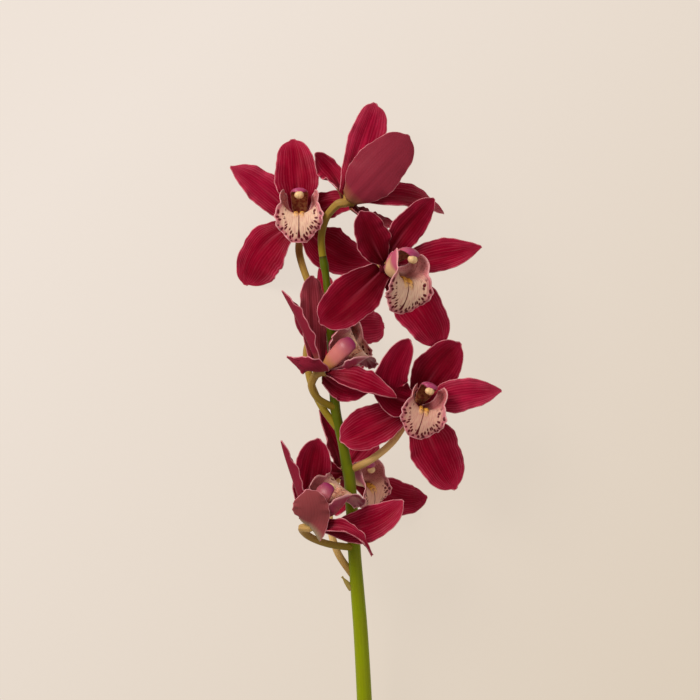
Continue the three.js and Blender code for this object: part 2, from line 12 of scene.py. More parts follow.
import bpy
import numpy as np
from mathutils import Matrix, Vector


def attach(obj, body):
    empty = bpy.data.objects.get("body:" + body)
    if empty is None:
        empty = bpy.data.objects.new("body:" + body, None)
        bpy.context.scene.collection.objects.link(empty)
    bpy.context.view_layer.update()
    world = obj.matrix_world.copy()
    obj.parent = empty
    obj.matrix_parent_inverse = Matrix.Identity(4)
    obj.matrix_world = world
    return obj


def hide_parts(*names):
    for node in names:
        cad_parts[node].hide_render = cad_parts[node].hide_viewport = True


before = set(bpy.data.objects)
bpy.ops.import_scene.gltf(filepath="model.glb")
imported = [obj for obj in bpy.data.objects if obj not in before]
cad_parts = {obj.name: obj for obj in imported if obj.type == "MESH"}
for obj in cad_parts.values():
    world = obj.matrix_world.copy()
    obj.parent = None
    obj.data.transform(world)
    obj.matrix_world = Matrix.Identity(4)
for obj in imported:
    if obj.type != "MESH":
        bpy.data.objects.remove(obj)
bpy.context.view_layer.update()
LOG = logging.getLogger("cymbidium")

Point = tuple[float, float, float]
Grid = np.ndarray
Surface = Callable[[Grid, Grid], Grid]
Radius = Callable[[Grid, Grid, Grid], Grid]
Shell = tuple[Grid, list[Grid], Grid]  # points, faces and marks

MM = 0.001  # one millimetre in metres
PART_ORIGIN = np.array([8.036, -87.018, 0.0])  # where it lies in the measures below, mm
SMALL_STEP = 1e-3  # for slopes
EDGE_STEP = 0.25  # mm between the places of an edge that points are measured to
EVEN = 0.62  # how much nearer to each other the columns of a sheet are at its edges (0 is even)
FLAT_SPOT_SHARE = 0.9  # share of a sheet's thickness that is left where it rests on the table
CALLUS_GAP = 1.7  # mm from the middle of a lip to each callus ridge
RIPPLE_TURN = 2.4  # radians that one piece's ripples are ahead of the last one's
COLOUR = {"data_type": "RGBA"}  # mixes colours
TIMES = {"operation": "MULTIPLY"}
SOFT = {"interpolation_type": "SMOOTHSTEP"}  # eases both ends of a range


class Place(Enum):
    """The five sepals and petals of a bloom, by where they stand round the column."""

    DORSAL_SEPAL = "dorsal_sepal"
    LEFT_PETAL = "left_petal"
    RIGHT_PETAL = "right_petal"
    LEFT_SEPAL = "left_sepal"
    RIGHT_SEPAL = "right_sepal"

    @property
    def is_petal(self) -> bool:
        """Whether it belongs to the inner ring."""
        return self.value.endswith("petal")


class Slot(Enum):
    """The kinds of piece, whose values also end the names of the lips' and columns' solids."""

    TEPAL = "tepal"
    LIP = "lip"
    COLUMN = "column"
    STEM = "stem"


# ---- small helpers ----------------------------------------------------------------------------------------


def linear(code: str) -> tuple[float, float, float, float]:
    """Turns an sRGB hex colour into Blender's linear one.

    Args:
        code: six hex digits after a hash.

    Returns:
        Red, green, blue and an alpha of 1.
    """
    parts = np.array([int(code[i : i + 2], 16) for i in (1, 3, 5)]) / 255.0
    low, high = parts / 12.92, ((parts + 0.055) / 1.055) ** 2.4
    return (*np.where(parts <= 0.04045, low, high).tolist(), 1.0)


def between(start: float, full: float, fading: float, end: float) -> tuple[tuple[float, str], ...]:
    """Colour stops that are black up to `start`, white from `full` to `fading` and black from `end`."""
    black, white = "#000000", "#ffffff"
    return (0.0, black), (start, black), (full, white), (fading, white), (end, black)


class Graph:
    """The node tree of a new material."""

    def __init__(self, name: str) -> None:
        """Makes the material, with nothing in its tree.

        Args:
            name: the material's name.
        """
        self.material = bpy.data.materials.new(name)
        self.material.use_nodes = True
        self.tree = self.material.node_tree
        self.tree.nodes.clear()

    def add(
        self,
        kind: str,
        *values: Any,
        named: Mapping[str, Any] | None = None,
        stops: Sequence[tuple[float, str]] = (),
        out: int | str | None = 0,
        **settings: Any,
    ) -> Any:
        """Adds a node with its settings, its colour stops and its links.

        Args:
            kind: the node's type, without "ShaderNode".
            values: for the sockets in use, in order: a number, a hex colour or the output that feeds it.
            named: the same, for sockets by name.
            stops: places and hex colours, for a colour ramp.
            out: which output is wanted, by its place among those in use or by name.
            settings: the node's own properties.

        Returns:
            That output, or all of them if `out` is None.
        """
        made = self.tree.nodes.new(f"ShaderNode{kind}")
        for name, value in settings.items():
            setattr(made, name, value)
        in_use = [socket for socket in made.inputs if socket.enabled]
        fed = [(made.inputs[name], value) for name, value in (named or {}).items()]
        for socket, value in [*zip(in_use, values), *fed]:
            if isinstance(value, bpy.types.NodeSocket):
                self.tree.links.new(value, socket)
            else:
                socket.default_value = linear(value) if isinstance(value, str) else value
        for number, (place, code) in enumerate(stops):
            elements = made.color_ramp.elements
            stop = elements[number] if number < 2 else elements.new(place)
            stop.position, stop.color = place, linear(code)
        if out is None or not made.outputs:
            return made.outputs
        return made.outputs[out] if isinstance(out, str) else [o for o in made.outputs if o.enabled][out]


def unit(vectors: Grid) -> Grid:
    """The vectors, each divided by its length."""
    return vectors / np.linalg.norm(vectors, axis=-1, keepdims=True)


def across(vectors: Grid, axis: Grid) -> Grid:
    """What is left of the vectors at right angles to the unit vectors `axis`, as unit vectors."""
    return unit(vectors - np.sum(vectors * axis, axis=-1, keepdims=True) * axis)


def bell(x: Grid) -> Grid:
    """One at 0, falling off to both sides as e to the power of -x^2."""
    return np.exp(-(x**2))


def waves(count: float, u: Grid, lag: Grid | float = 0.0) -> Grid:
    """A sine of `count` waves while u goes from 0 to 1, `lag` radians ahead."""
    return np.sin(2 * np.pi * count * u + lag)


def blend(start: Any, end: Any, share: Grid) -> Grid:
    """From `start` at a share of 0 to `end` at 1."""
    return start * (1 - share) + end * share


def turns(sides: int) -> Grid:
    """The angles of evenly spaced points round a ring."""
    return np.arange(sides) * 2 * np.pi / sides


def swing(u: Grid) -> Grid:
    """The share of a wave's height at u: 0 at both ends of a sheet and 1 in the middle."""
    return np.sqrt(np.maximum(np.sin(np.pi * u), 0))


def bracket(keys: Grid, s: Grid) -> tuple[Grid, Grid]:
    """Finds each `s` among the first column of `keys`.

    Args:
        keys: rows of place and values.
        s: places.

    Returns:
        The row before each place, and how far it is to the next row, 0 to 1.
    """
    row = np.clip(np.searchsorted(keys[:, 0], s, side="right") - 1, 0, len(keys) - 2)
    return row, (s - keys[row, 0]) / (keys[row + 1, 0] - keys[row, 0])


def eased(keys: Grid, column: int, s: Grid) -> Grid:
    """Reads a column of `keys`, halfway between a straight line and a smooth step from row to row.

    Args:
        keys: rows of place and values.
        column: which of their columns.
        s: places.

    Returns:
        The values there.
    """
    row, t = bracket(keys, s)
    soft = 0.5 * t + 0.5 * t * t * (3 - 2 * t)
    return blend(keys[row, column], keys[row + 1, column], soft)


def smooth(keys: Grid, column: int, s: Grid) -> Grid:
    """Reads a column of `keys` on a Hermite curve, whose slope at a row is that between its neighbours.

    Args:
        keys: rows of place and values.
        column: which of their columns.
        s: places.

    Returns:
        The values there.
    """
    row, t = bracket(keys, s)
    values, places = keys[:, column], keys[:, 0]
    before = np.maximum(np.arange(len(keys)) - 1, 0)
    after = np.minimum(np.arange(len(keys)) + 1, len(keys) - 1)
    slopes = (values[after] - values[before]) / (places[after] - places[before])
    gap = places[row + 1] - places[row]
    start = (2 * t**3 - 3 * t**2 + 1) * values[row] + (t**3 - 2 * t**2 + t) * gap * slopes[row]
    return start + (3 * t**2 - 2 * t**3) * values[row + 1] + (t**3 - t**2) * gap * slopes[row + 1]


def slope_of(keys: Grid, s: Grid) -> tuple[Grid, Grid]:
    """Finds the way that the smooth curve of columns 1 and 2 of `keys` runs.

    Args:
        keys: rows of place and values.
        s: places.

    Returns:
        The two parts of a unit vector there.
    """
    low, high = np.maximum(s - SMALL_STEP, 0), np.minimum(s + SMALL_STEP, 1)
    step = np.stack([smooth(keys, c, high) - smooth(keys, c, low) for c in (1, 2)])
    return tuple(step / np.linalg.norm(step, axis=0))


def catmull_rom(points: Grid, t: Grid) -> tuple[Grid, Grid]:
    """A uniform Catmull-Rom curve, with its two ends extended in a straight line.

    Args:
        points: rows of numbers that the curve passes through.
        t: places from 0 at the first row to 1 at the last.

    Returns:
        The curve's values and their slopes with t.
    """
    ends = np.vstack([2 * points[0] - points[1], points, 2 * points[-1] - points[-2]])
    place = t * (len(points) - 1)
    row = np.minimum(place.astype(int), len(points) - 2)
    f = (place - row)[:, None]
    a, b, c, d = (ends[row + k] for k in range(4))
    bend = (2 * a - 5 * b + 4 * c - d, 3 * b - a - 3 * c + d)
    value = 0.5 * (2 * b + (c - a) * f + bend[0] * f**2 + bend[1] * f**3)
    return value, 0.5 * ((c - a) + 2 * bend[0] * f + 3 * bend[1] * f**2)


def make_mesh(name: str, points: Grid, faces: Sequence[Grid], marks: Mapping[str, Grid]) -> bpy.types.Object:
    """Puts points and faces into a new smooth-shaded object at the origin.

    Args:
        name: the piece's name.
        points: rows of x, y, z in millimetres.
        faces: arrays of corner numbers, one row to a face.
        marks: for an attribute's name, three numbers for each point.

    Returns:
        The object, in the scene.
    """
    mesh = bpy.data.meshes.new(name)
    mesh.from_pydata(((points - PART_ORIGIN) * MM).tolist(), [], [f for part in faces for f in part.tolist()])
    mesh.polygons.foreach_set("use_smooth", np.ones(len(mesh.polygons), bool))
    for mark, values in marks.items():
        mesh.attributes.new(mark, "FLOAT_VECTOR", "POINT").data.foreach_set("vector", values.ravel())
    mesh.validate()
    piece = bpy.data.objects.new(name, mesh)
    bpy.context.scene.collection.objects.link(piece)
    return piece


def finish(piece: bpy.types.Object, material: bpy.types.Material, node: str, slot: Slot) -> None:
    """Gives a piece its material, puts it in the place of its solid and reports it.

    Args:
        piece: the new piece.
        material: its finish.
        node: the solid that it stands for.
        slot: not used.
    """
    piece.data.materials.append(material)
    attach(piece, "root")
    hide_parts(node)
    LOG.info("%s: %d faces", piece.name, len(piece.data.polygons))


def step_lengths(points: Grid) -> Grid:
    """The distance from each point to the one before it, and 0 for the first."""
    return np.linalg.norm(np.diff(points, axis=0, prepend=points[:1]), axis=-1)


def outline_of(grid: Grid) -> Grid:
    """The points at the edges and the tip of a sheet, in order from one side of its base to the other."""
    return np.concatenate([grid[1:, 0], grid[-1, 1:-1], grid[1:, -1][::-1]])


def edge_distance(points: Grid, edge: Grid) -> Grid:
    """How far each point is from an edge.

    Args:
        points: an array of points, mm.
        edge: the points of the edge in order, mm.

    Returns:
        The distances in mm, shaped as the points are.
    """
    steps = np.linalg.norm(np.diff(edge, axis=0), axis=1)
    along = np.concatenate([[0.0], np.cumsum(steps)])
    fine = np.linspace(0, along[-1], int(along[-1] / EDGE_STEP) + 2)
    spots = np.stack([np.interp(fine, along, edge[:, k]) for k in range(3)], axis=1)
    flat = points.reshape(-1, 3)
    gap = np.sum(flat**2, axis=1)[:, None] - 2 * flat @ spots.T + np.sum(spots**2, axis=1)[None, :]
    return np.sqrt(np.maximum(gap.min(axis=1), 0)).reshape(points.shape[:-1])


@dataclass(frozen=True)
class Sheet:
    """A thin sheet of plant tissue as a closed skin: an inner face, an outer face and a rounded rim."""

    rows: int
    columns: int
    crowding: float = 2.0  # power that brings the rows closer together near the tip
    rim_bulge: float = 0.35  # how far the rim stands out, as a share of the thickness there

    def grid(self) -> tuple[Grid, Grid]:
        """Lays out the places of the sheet's points.

        Returns:
            u from base to tip and v from edge to edge, on a grid.
        """
        u = 1 - (1 - np.linspace(0, 1, self.rows + 1)) ** self.crowding
        v = np.sin(np.linspace(-1, 1, self.columns + 1) * np.pi / 2 * EVEN) / np.sin(np.pi / 2 * EVEN)
        return np.meshgrid(u, v, indexing="ij")

    def skin(self, surface: Surface, thickness: Grid, floor: float | None) -> Grid:
        """Lays the sheet out as closed sections round the rib.

        The outer face is the inner one moved back along its normal, which is the cross product of the slopes
        along and across. Each rim point is midway between the faces, moved outwards.

        Args:
            surface: the inner face, from u and v to points.
            thickness: at each grid place, mm.
            floor: the height that nothing goes below, if the sheet can meet the table.

        Returns:
            Points in rows of sections: inner face, right rim, outer face backwards, left rim.
        """
        u, v = self.grid()
        inner = surface(u, v)
        along = surface(np.minimum(u + SMALL_STEP, 1), v) - surface(np.maximum(u - SMALL_STEP, 0), v)
        sideways = surface(u, np.minimum(v + SMALL_STEP, 1)) - surface(u, np.maximum(v - SMALL_STEP, -1))
        normal = unit(np.cross(along, sideways))
        outer = inner - normal * thickness[..., None]
        if floor is not None:
            inner[..., 2] = np.maximum(inner[..., 2], floor + thickness * FLAT_SPOT_SHARE)
            outer[..., 2] = np.maximum(outer[..., 2], floor)
        rims = []
        for edge, sign in ((-1, 1), (0, -1)):
            out = sign * unit(sideways[:, edge]) * self.rim_bulge * thickness[:, edge, None]
            rims.append((inner[:, edge] + outer[:, edge]) / 2 + out)
            if floor is not None:
                rims[-1][:, 2] = np.maximum(rims[-1][:, 2], floor)
        return np.concatenate([inner, rims[0][:, None], outer[:, ::-1], rims[1][:, None]], axis=1)

    def spread(self, inner: Grid, rim: Grid | float, outer: Grid | None = None) -> Grid:
        """Spreads values on the grid over the skin's points.

        Args:
            inner: values for the inner face, and for the outer one if it has none of its own.
            rim: values or one number for the rims.
            outer: values for the outer face.

        Returns:
            The values in the order of the skin's points.
        """
        outer = inner if outer is None else outer
        edge = np.broadcast_to(rim, inner.shape[:1])[:, None]
        return np.concatenate([inner, edge, outer[:, ::-1], edge], axis=1)

    def faces(self) -> list[Grid]:
        """Joins the skin's points.

        Returns:
            The quads round and along the skin, and the two ends that close it.
        """
        n, c = self.rows + 1, self.columns
        around = 2 * (c + 1) + 2
        at = np.arange(n * around).reshape(n, around)
        turned = np.roll(at, -1, axis=1)
        body = np.stack([at[:-1], turned[:-1], turned[1:], at[1:]], axis=-1).reshape(-1, 4)[:, ::-1]
        ends = []
        for row, flip in ((0, 1), (self.rows, -1)):
            inner, outer = at[row, : c + 1], at[row, c + 2 : 2 * c + 3][::-1]
            strip = np.stack([inner[:-1], inner[1:], outer[1:], outer[:-1]], axis=-1)
            tips = np.array([[at[row, -1], inner[0], outer[0]], [inner[-1], at[row, c + 1], outer[-1]]])
            ends += [strip[:, ::flip], tips[:, ::flip]]
        return [body, *ends]


def with_ends(rings: Grid) -> Grid:
    """The points of all rings, and then the middles of the first and the last one."""
    return np.concatenate([rings.reshape(-1, 3), rings[[0, -1]].mean(axis=1)])


def tube_faces(rows: int, sides: int) -> list[Grid]:
    """The faces of a tube whose rings follow each other, closed by two middle points after the last ring.

    Args:
        rows: steps along it.
        sides: points in a ring.

    Returns:
        Quads along the tube and triangles at its ends.
    """
    at = np.arange((rows + 1) * sides).reshape(rows + 1, sides)
    turned = np.roll(at, -1, axis=1)
    body = np.stack([at[:-1], turned[:-1], turned[1:], at[1:]], axis=-1).reshape(-1, 4)
    foot, head = np.full(sides, at.size), np.full(sides, at.size + 1)
    start = np.stack([foot, turned[0], at[0]], axis=-1)
    return [body, start, np.stack([head, at[-1], turned[-1]], axis=-1)]


def joined(shells: Sequence[Shell]) -> Shell:
    """Puts several closed shells together as one mesh.

    Args:
        shells: points, faces and marks of each.

    Returns:
        All points, all faces and all marks.
    """
    points, faces, marks = zip(*shells)
    starts = np.cumsum([0] + [len(rows) for rows in points])
    shifted = [part + start for parts, start in zip(faces, starts) for part in parts]
    return np.concatenate(points), shifted, np.concatenate(marks)


@dataclass(frozen=True)
class Tube:
    """A closed round tube."""

    skin: Grid  # its points, ring after ring, and the middles of its two ends
    faces: list[Grid]
    along: Grid  # for each ring, mm from the first
    turn: Grid  # for each side, the angle
    colour_radius: float = 12.0  # mm, turns angles into lengths for the streaks of the skin

    @property
    def share(self) -> Grid:
        """For each ring, the share of the length that it is at."""
        return self.along / self.along[-1]

    def marked(self, tanned: Grid, joint: Grid) -> Shell:
        """The tube with its marks.

        Args:
            tanned: for each ring, how far it has turned from green to tan.
            joint: for each ring, how much of a dark joint it is.

        Returns:
            Points, faces and marks of six numbers: share, tanned, joint, mm round, mm along, kind.
        """
        rows = [np.repeat(values, len(self.turn)) for values in (self.share, tanned, joint, self.along)]
        round_mm = np.tile(np.abs(np.sin(self.turn / 2)) * self.colour_radius, len(self.along))
        marks = np.stack([*rows[:3], round_mm, rows[3], np.zeros(len(round_mm))], axis=-1)
        return self.skin, self.faces, np.concatenate([marks, marks[[0, -1]]])


# ---- finishes ---------------------------------------------------------------------------------------------


@dataclass(frozen=True)
class WaxyTepalTissue:
    """Fresh cymbidium tepal: thick, waxy, grown in parallel veins, with a satin skin of small domed cells.

    The eye sees a deep crimson that is rosier towards the edges, fine darker veins that run from claw to
    tip, a hair-thin pale rim where the skin has no pigment below it, and a duller back.
    """

    name: str
    face: str = "#8f0327"  # the middle of the inner face
    flank: str = "#ac2042"  # nearer to its edges
    throat: str = "#640011"  # near the claw
    vein: str = "#520010"
    rim: str = "#d68a96"
    ridge: str = "#d07088"  # painted highlight: the light that lies on the ridges between the veins
    midrib: str = "#b2485e"  # painted highlight along the midrib near the claw, where its groove would catch the light
    back: str = "#93283c"
    back_claw: str = "#8a5c40"  # greenish tan where the tepal leaves the ovary
    roughness: float = 0.42
    vein_depth: float = 0.10  # mm
    cell: float = 0.7  # mm; real cells are 0.05 mm, drawn coarser so that they show
    strands: float = 1.2  # streaks to a vein across the tissue
    strand_run: float = 0.045  # and to a millimetre along it
    midrib_highlight: float = 0.4  # how strong the painted midrib highlight is
    ridge_highlight: float = 0.26  # how strong the painted highlights on the ridges near the edges are
    rim_width: float = 0.22  # mm
    flank_width: float = 5.5  # mm
    blotch: float = 9.0  # mm, the size of the darker patches

    def material(self) -> bpy.types.Material:
        """Builds the material from its colours and sizes.

        Returns:
            A node material that reads the piece's "lay" (veins, mm along, share across) and "where"
            (mm from the rim, share of the length, inner face) attributes.
        """
        graph = Graph(self.name)
        add = graph.add
        lay = add("Attribute", attribute_name="lay", out="Vector")
        where = add("Attribute", attribute_name="where", out="Vector")
        place = add("TexCoord", out="Object")
        lays = add("SeparateXYZ", lay, out=None)
        wheres = add("SeparateXYZ", where, out=None)
        stretched = add("VectorMath", lay, (self.strands, self.strand_run, 0.0), **TIMES)
        streaks = add("TexNoise", stretched, 1.0, 3.0, 0.6)
        bent = add("Math", streaks, 1.3, lays[0], operation="MULTIPLY_ADD")
        phase = add("Math", bent, 2 * np.pi, **TIMES)
        cosine = add("Math", phase, operation="COSINE")
        veins = add("MapRange", cosine, 0.3, 1.0, 0.0, 1.0, **SOFT)
        blotch = add("TexNoise", place, 1 / (self.blotch * MM), 2.0)
        cells = add("TexNoise", place, 1 / (self.cell * MM), 1.0)
        # the inner face: dark in the middle and at the claw, rosier towards the edges
        flank = add("MapRange", wheres[0], 0.0, self.flank_width, 1.0, 0.0)
        uneven = add("Math", streaks, 1.0, 0.35, operation="MULTIPLY_ADD")
        rosy = add("Math", flank, uneven, **TIMES, use_clamp=True)
        body = add("Mix", rosy, self.face, self.flank, **COLOUR)
        claw = add("MapRange", wheres[1], 0.0, 0.55, 0.9, 0.0, **SOFT)
        deep = add("Mix", claw, body, self.throat, **COLOUR)
        soft = add("MapRange", blotch, 0.35, 0.7, 0.0, 0.4)
        front = add("Mix", soft, deep, self.throat, **COLOUR)
        # painted highlight: a light band along the midrib near the claw, fading towards the tip
        aside = add("Math", lays[0], operation="ABSOLUTE")
        groove = add("MapRange", aside, 0.15, 0.9, self.midrib_highlight, 0.0, **SOFT)
        fading = add("MapRange", wheres[1], 0.1, 0.75, 1.0, 0.0, **SOFT)
        glow = add("Math", groove, fading, **TIMES)
        front = add("Mix", glow, front, self.midrib, **COLOUR)
        lines = add("Math", veins, 0.3, **TIMES)
        veined = add("Mix", lines, front, self.vein, **COLOUR)
        # painted highlight: streaks of light on the ridges between the veins, which come and go, most near
        # the edges
        ridge_highlight_mask = add("MapRange", cosine, 0.0, -0.9, 0.0, self.ridge_highlight, **SOFT)
        patchy = add("MapRange", streaks, 0.4, 0.66, 0.1, 1.0)
        outer = add("MapRange", wheres[0], 0.0, 9.0, 1.0, 0.25)
        lit = add("Math", ridge_highlight_mask, patchy, **TIMES)
        lit = add("Math", lit, outer, **TIMES)
        veined = add("Mix", lit, veined, self.ridge, **COLOUR)
        # the back: duller, greenish where it leaves the ovary
        behind = add("ValToRGB", wheres[1], stops=((0.0, self.back_claw), (0.16, self.back)))
        ribs = add("Math", veins, 0.1, **TIMES)
        ribbed = add("Mix", ribs, behind, self.vein, **COLOUR)
        side = add("Mix", wheres[2], ribbed, veined, **COLOUR)
        # the rim, which comes and goes along the edge
        edge = add("MapRange", wheres[0], self.rim_width * 0.5, self.rim_width * 1.6, 1.0, 0.0, **SOFT)
        worn = add("MapRange", blotch, 0.35, 0.6, 0.95, 0.5)
        rim = add("Math", edge, worn, **TIMES)
        colour = add("Mix", rim, side, self.rim, **COLOUR)
        rough = add("MapRange", cells, 0.3, 0.7, self.roughness - 0.05, self.roughness + 0.07)
        veining = {"Height": veins, "Strength": 0.35, "Distance": self.vein_depth * MM}
        relief = add("Bump", named=veining, invert=True)
        skin = add("Bump", named={"Height": cells, "Normal": relief, "Strength": 0.25, "Distance": 0.05 * MM})
        shader = add("BsdfPrincipled", named={
            "Base Color": colour, "Roughness": rough, "Normal": skin, "IOR": 1.42, "Specular IOR Level": 0.05,
            "Subsurface Weight": 0.05, "Subsurface Radius": (1.0, 0.2, 0.2), "Subsurface Scale": 1.0 * MM,
        })
        add("OutputMaterial", shader)
        return graph.material


@dataclass(frozen=True)
class SpottedLipTissue:
    """Fresh cymbidium lip: a thin cream tissue under clear wax, dyed by the plant itself at the edges.

    The eye sees cream that turns rosy at the frilled edge, dark red dashes that point to the edge, a red
    line along the middle, and the yellow ridges of the callus that lead into a brown-red throat. Outside,
    the side lobes are rosy crimson and the foot is cream.
    """

    name: str = "waxy_spotted_lip"
    cream: str = "#dfbca2"
    rose: str = "#b65e6c"
    rim: str = "#e0a6aa"
    side_lobe: str = "#d08484"
    freckle: str = "#8c2a3c"
    spot: str = "#5c0016"
    throat: str = "#701e18"
    callus: str = "#dba044"
    foot: str = "#d2aa80"
    back: str = "#b0506a"
    dash_along: float = 2.1  # mm between dashes along the edge
    dash_deep: float = 3.6  # mm between their rows
    dash_size: float = 1.05  # 1 makes a dash two thirds of its place
    freckle_gap: float = 1.3  # mm between the freckles of the side lobes

    def material(self) -> bpy.types.Material:
        """Builds the material from its colours and sizes.

        Returns:
            A node material that reads the piece's "edge" (mm round the front lobe, mm from the rim, inner
            face) and "spot" (share of the length, mm across, mm along) attributes.
        """
        graph = Graph(self.name)
        add = graph.add
        edge = add("Attribute", attribute_name="edge", out="Vector")
        spot = add("Attribute", attribute_name="spot", out="Vector")
        edges = add("SeparateXYZ", edge, out=None)
        spots = add("SeparateXYZ", spot, out=None)
        sideways = add("Math", spots[1], operation="ABSOLUTE")
        spot_mm = add("CombineXYZ", spots[1], spots[2])
        fibres = add("VectorMath", spot, (0.0, 1.5, 0.25), **TIMES)
        wander = add("TexNoise", fibres, 1.0, 3.0)
        # cream inside, rosier the nearer to the edge, in fine streaks
        rosy = add("MapRange", edges[1], 0.0, 4.8, 1.0, 0.0, **SOFT)
        rosier = add("Math", rosy, wander, **TIMES)
        blush = add("Math", rosier, 2.3, **TIMES, use_clamp=True)
        ground = add("Mix", blush, self.cream, self.rose, **COLOUR)
        strands = add("MapRange", wander, 0.44, 0.64, 0.0, 0.5)
        ground = add("Mix", strands, ground, self.rose, **COLOUR)
        # the side lobes are dull rose inside
        lobes = add("MapRange", spots[0], 0.46, 0.58, 1.0, 0.0, **SOFT)
        flanks = add("MapRange", sideways, 4.0, 10.0, 0.0, 0.9, **SOFT)
        lobed = add("Math", lobes, flanks, **TIMES)
        lobe = add("Mix", lobed, ground, self.side_lobe, **COLOUR)
        scattered = {"Vector": spot_mm, "Scale": 1 / self.freckle_gap, "Randomness": 1.0}
        fleck = add("TexVoronoi", named=scattered, voronoi_dimensions="2D")
        small = add("MapRange", fleck, 0.14, 0.26, 0.6, 0.0)
        flecks = add("Math", small, lobed, **TIMES)
        lobe = add("Mix", flecks, lobe, self.freckle, **COLOUR)
        # the dark throat under the column
        deep = add("MapRange", spots[0], 0.36, 0.5, 1.0, 0.0, **SOFT)
        narrow = add("MapRange", sideways, 3.5, 7.5, 1.0, 0.0, **SOFT)
        hollow = add("Math", deep, narrow, **TIMES)
        throat = add("Mix", hollow, lobe, self.throat, **COLOUR)
        # the dashes, in two or three rows along the front edge
        scale = (1 / self.dash_along, 1 / self.dash_deep, 0.0)
        cell = add("VectorMath", edge, scale, **TIMES)
        in_rows = {"Vector": cell, "Scale": 1.0, "Randomness": 0.8}
        stones = add("TexVoronoi", named=in_rows, voronoi_dimensions="2D")
        dots = add("MapRange", stones, 0.25 * self.dash_size, 0.34 * self.dash_size, 1.0, 0.0, **SOFT)
        tenth = add("Math", edges[1], 10.0, operation="DIVIDE")
        strip = add("ValToRGB", tenth, stops=between(0.06, 0.11, 0.52, 0.62))
        ahead = add("MapRange", spots[0], 0.53, 0.6, 0.0, 1.0, **SOFT)
        banded = add("Math", dots, strip, **TIMES)
        dashed = add("Math", banded, ahead, **TIMES)
        dotted = add("Mix", dashed, throat, self.spot, **COLOUR)
        # the red line along the middle of the front lobe, which widens to a blotch at its end
        wide = add("MapRange", spots[0], 0.8, 0.92, 0.3, 0.8, **SOFT)
        inside = add("Math", wide, sideways, operation="SUBTRACT")
        line = add("MapRange", inside, -0.12, 0.12, 0.0, 1.0)
        reach = add("ValToRGB", spots[0], stops=between(0.5, 0.54, 0.93, 0.96))
        rib = add("Math", line, reach, **TIMES)
        ribbed = add("Mix", rib, dotted, self.spot, **COLOUR)
        # the callus ridges
        off = add("Math", sideways, CALLUS_GAP, operation="SUBTRACT")
        beside = add("Math", off, operation="ABSOLUTE")
        ridge = add("MapRange", beside, 0.6, 1.5, 1.0, 0.0, **SOFT)
        stretch = add("ValToRGB", spots[0], stops=between(0.4, 0.46, 0.57, 0.68))
        yellow = add("Math", ridge, stretch, **TIMES)
        crumbs = add("MapRange", fleck, 0.2, 0.34, 0.7, 0.0)
        speckled = add("Mix", crumbs, self.callus, self.throat, **COLOUR)
        front = add("Mix", yellow, ribbed, speckled, **COLOUR)
        # the outside: cream in the middle, rosy crimson near the edges, the dashes showing through faintly
        outward = ((0.0, self.rose), (0.1, self.back), (0.25, self.back), (0.55, self.foot))
        outside = add("ValToRGB", tenth, stops=outward)
        faint = add("Math", dashed, 0.3, **TIMES)
        behind = add("Mix", faint, outside, self.spot, **COLOUR)
        side = add("Mix", edges[2], behind, front, **COLOUR)
        hem = add("MapRange", edges[1], 0.1, 0.7, 0.8, 0.0, **SOFT)
        colour = add("Mix", hem, side, self.rim, **COLOUR)
        relief = add("Bump", named={"Height": wander, "Strength": 0.3, "Distance": 0.2 * MM})
        shader = add("BsdfPrincipled", named={
            "Base Color": colour, "Roughness": 0.46, "Normal": relief, "IOR": 1.42, "Specular IOR Level": 0.3,
            "Subsurface Weight": 0.12, "Subsurface Radius": (1.0, 0.6, 0.45), "Subsurface Scale": 1.0 * MM,
        })
        add("OutputMaterial", shader)
        return graph.material


@dataclass(frozen=True)
class ColumnTissue:
    """The column: solid waxy tissue, rosy on its back, dark and spotted under the cap, pale at the cap."""

    name: str = "waxy_column"
    back: str = "#cb7a80"
    foot: str = "#bd8a5a"
    tip: str = "#a23a66"
    under: str = "#76261e"
    cap: str = "#dfbd8c"
    mottle: float = 1.6  # mm, the size of its specks

    def material(self) -> bpy.types.Material:
        """Builds the material from its colours.

        Returns:
            A node material that reads the piece's "part" (share of the length, back, cap) attribute.
        """
        graph = Graph(self.name)
        add = graph.add
        part = add("Attribute", attribute_name="part", out="Vector")
        parts = add("SeparateXYZ", part, out=None)
        mottle = add("TexNoise", add("TexCoord", out="Object"), 1 / (self.mottle * MM), 3.0)
        above = add("ValToRGB", parts[0], stops=(
            (0.0, self.foot), (0.2, self.foot), (0.42, self.back), (0.55, self.back), (0.9, self.tip),
        ))
        specks = add("MapRange", mottle, 0.42, 0.6, 0.5, 0.95, **SOFT)
        below = add("Mix", specks, self.foot, self.under, **COLOUR)
        body = add("Mix", parts[1], below, above, **COLOUR)
        colour = add("Mix", parts[2], body, self.cap, **COLOUR)
        relief = add("Bump", named={"Height": mottle, "Strength": 0.2, "Distance": 0.15 * MM})
        shader = add("BsdfPrincipled", named={
            "Base Color": colour, "Roughness": 0.4, "Normal": relief, "IOR": 1.42, "Specular IOR Level": 0.45,
            "Subsurface Weight": 0.15, "Subsurface Radius": (1.0, 0.5, 0.4), "Subsurface Scale": 1.5 * MM,
        })
        add("OutputMaterial", shader)
        return graph.material


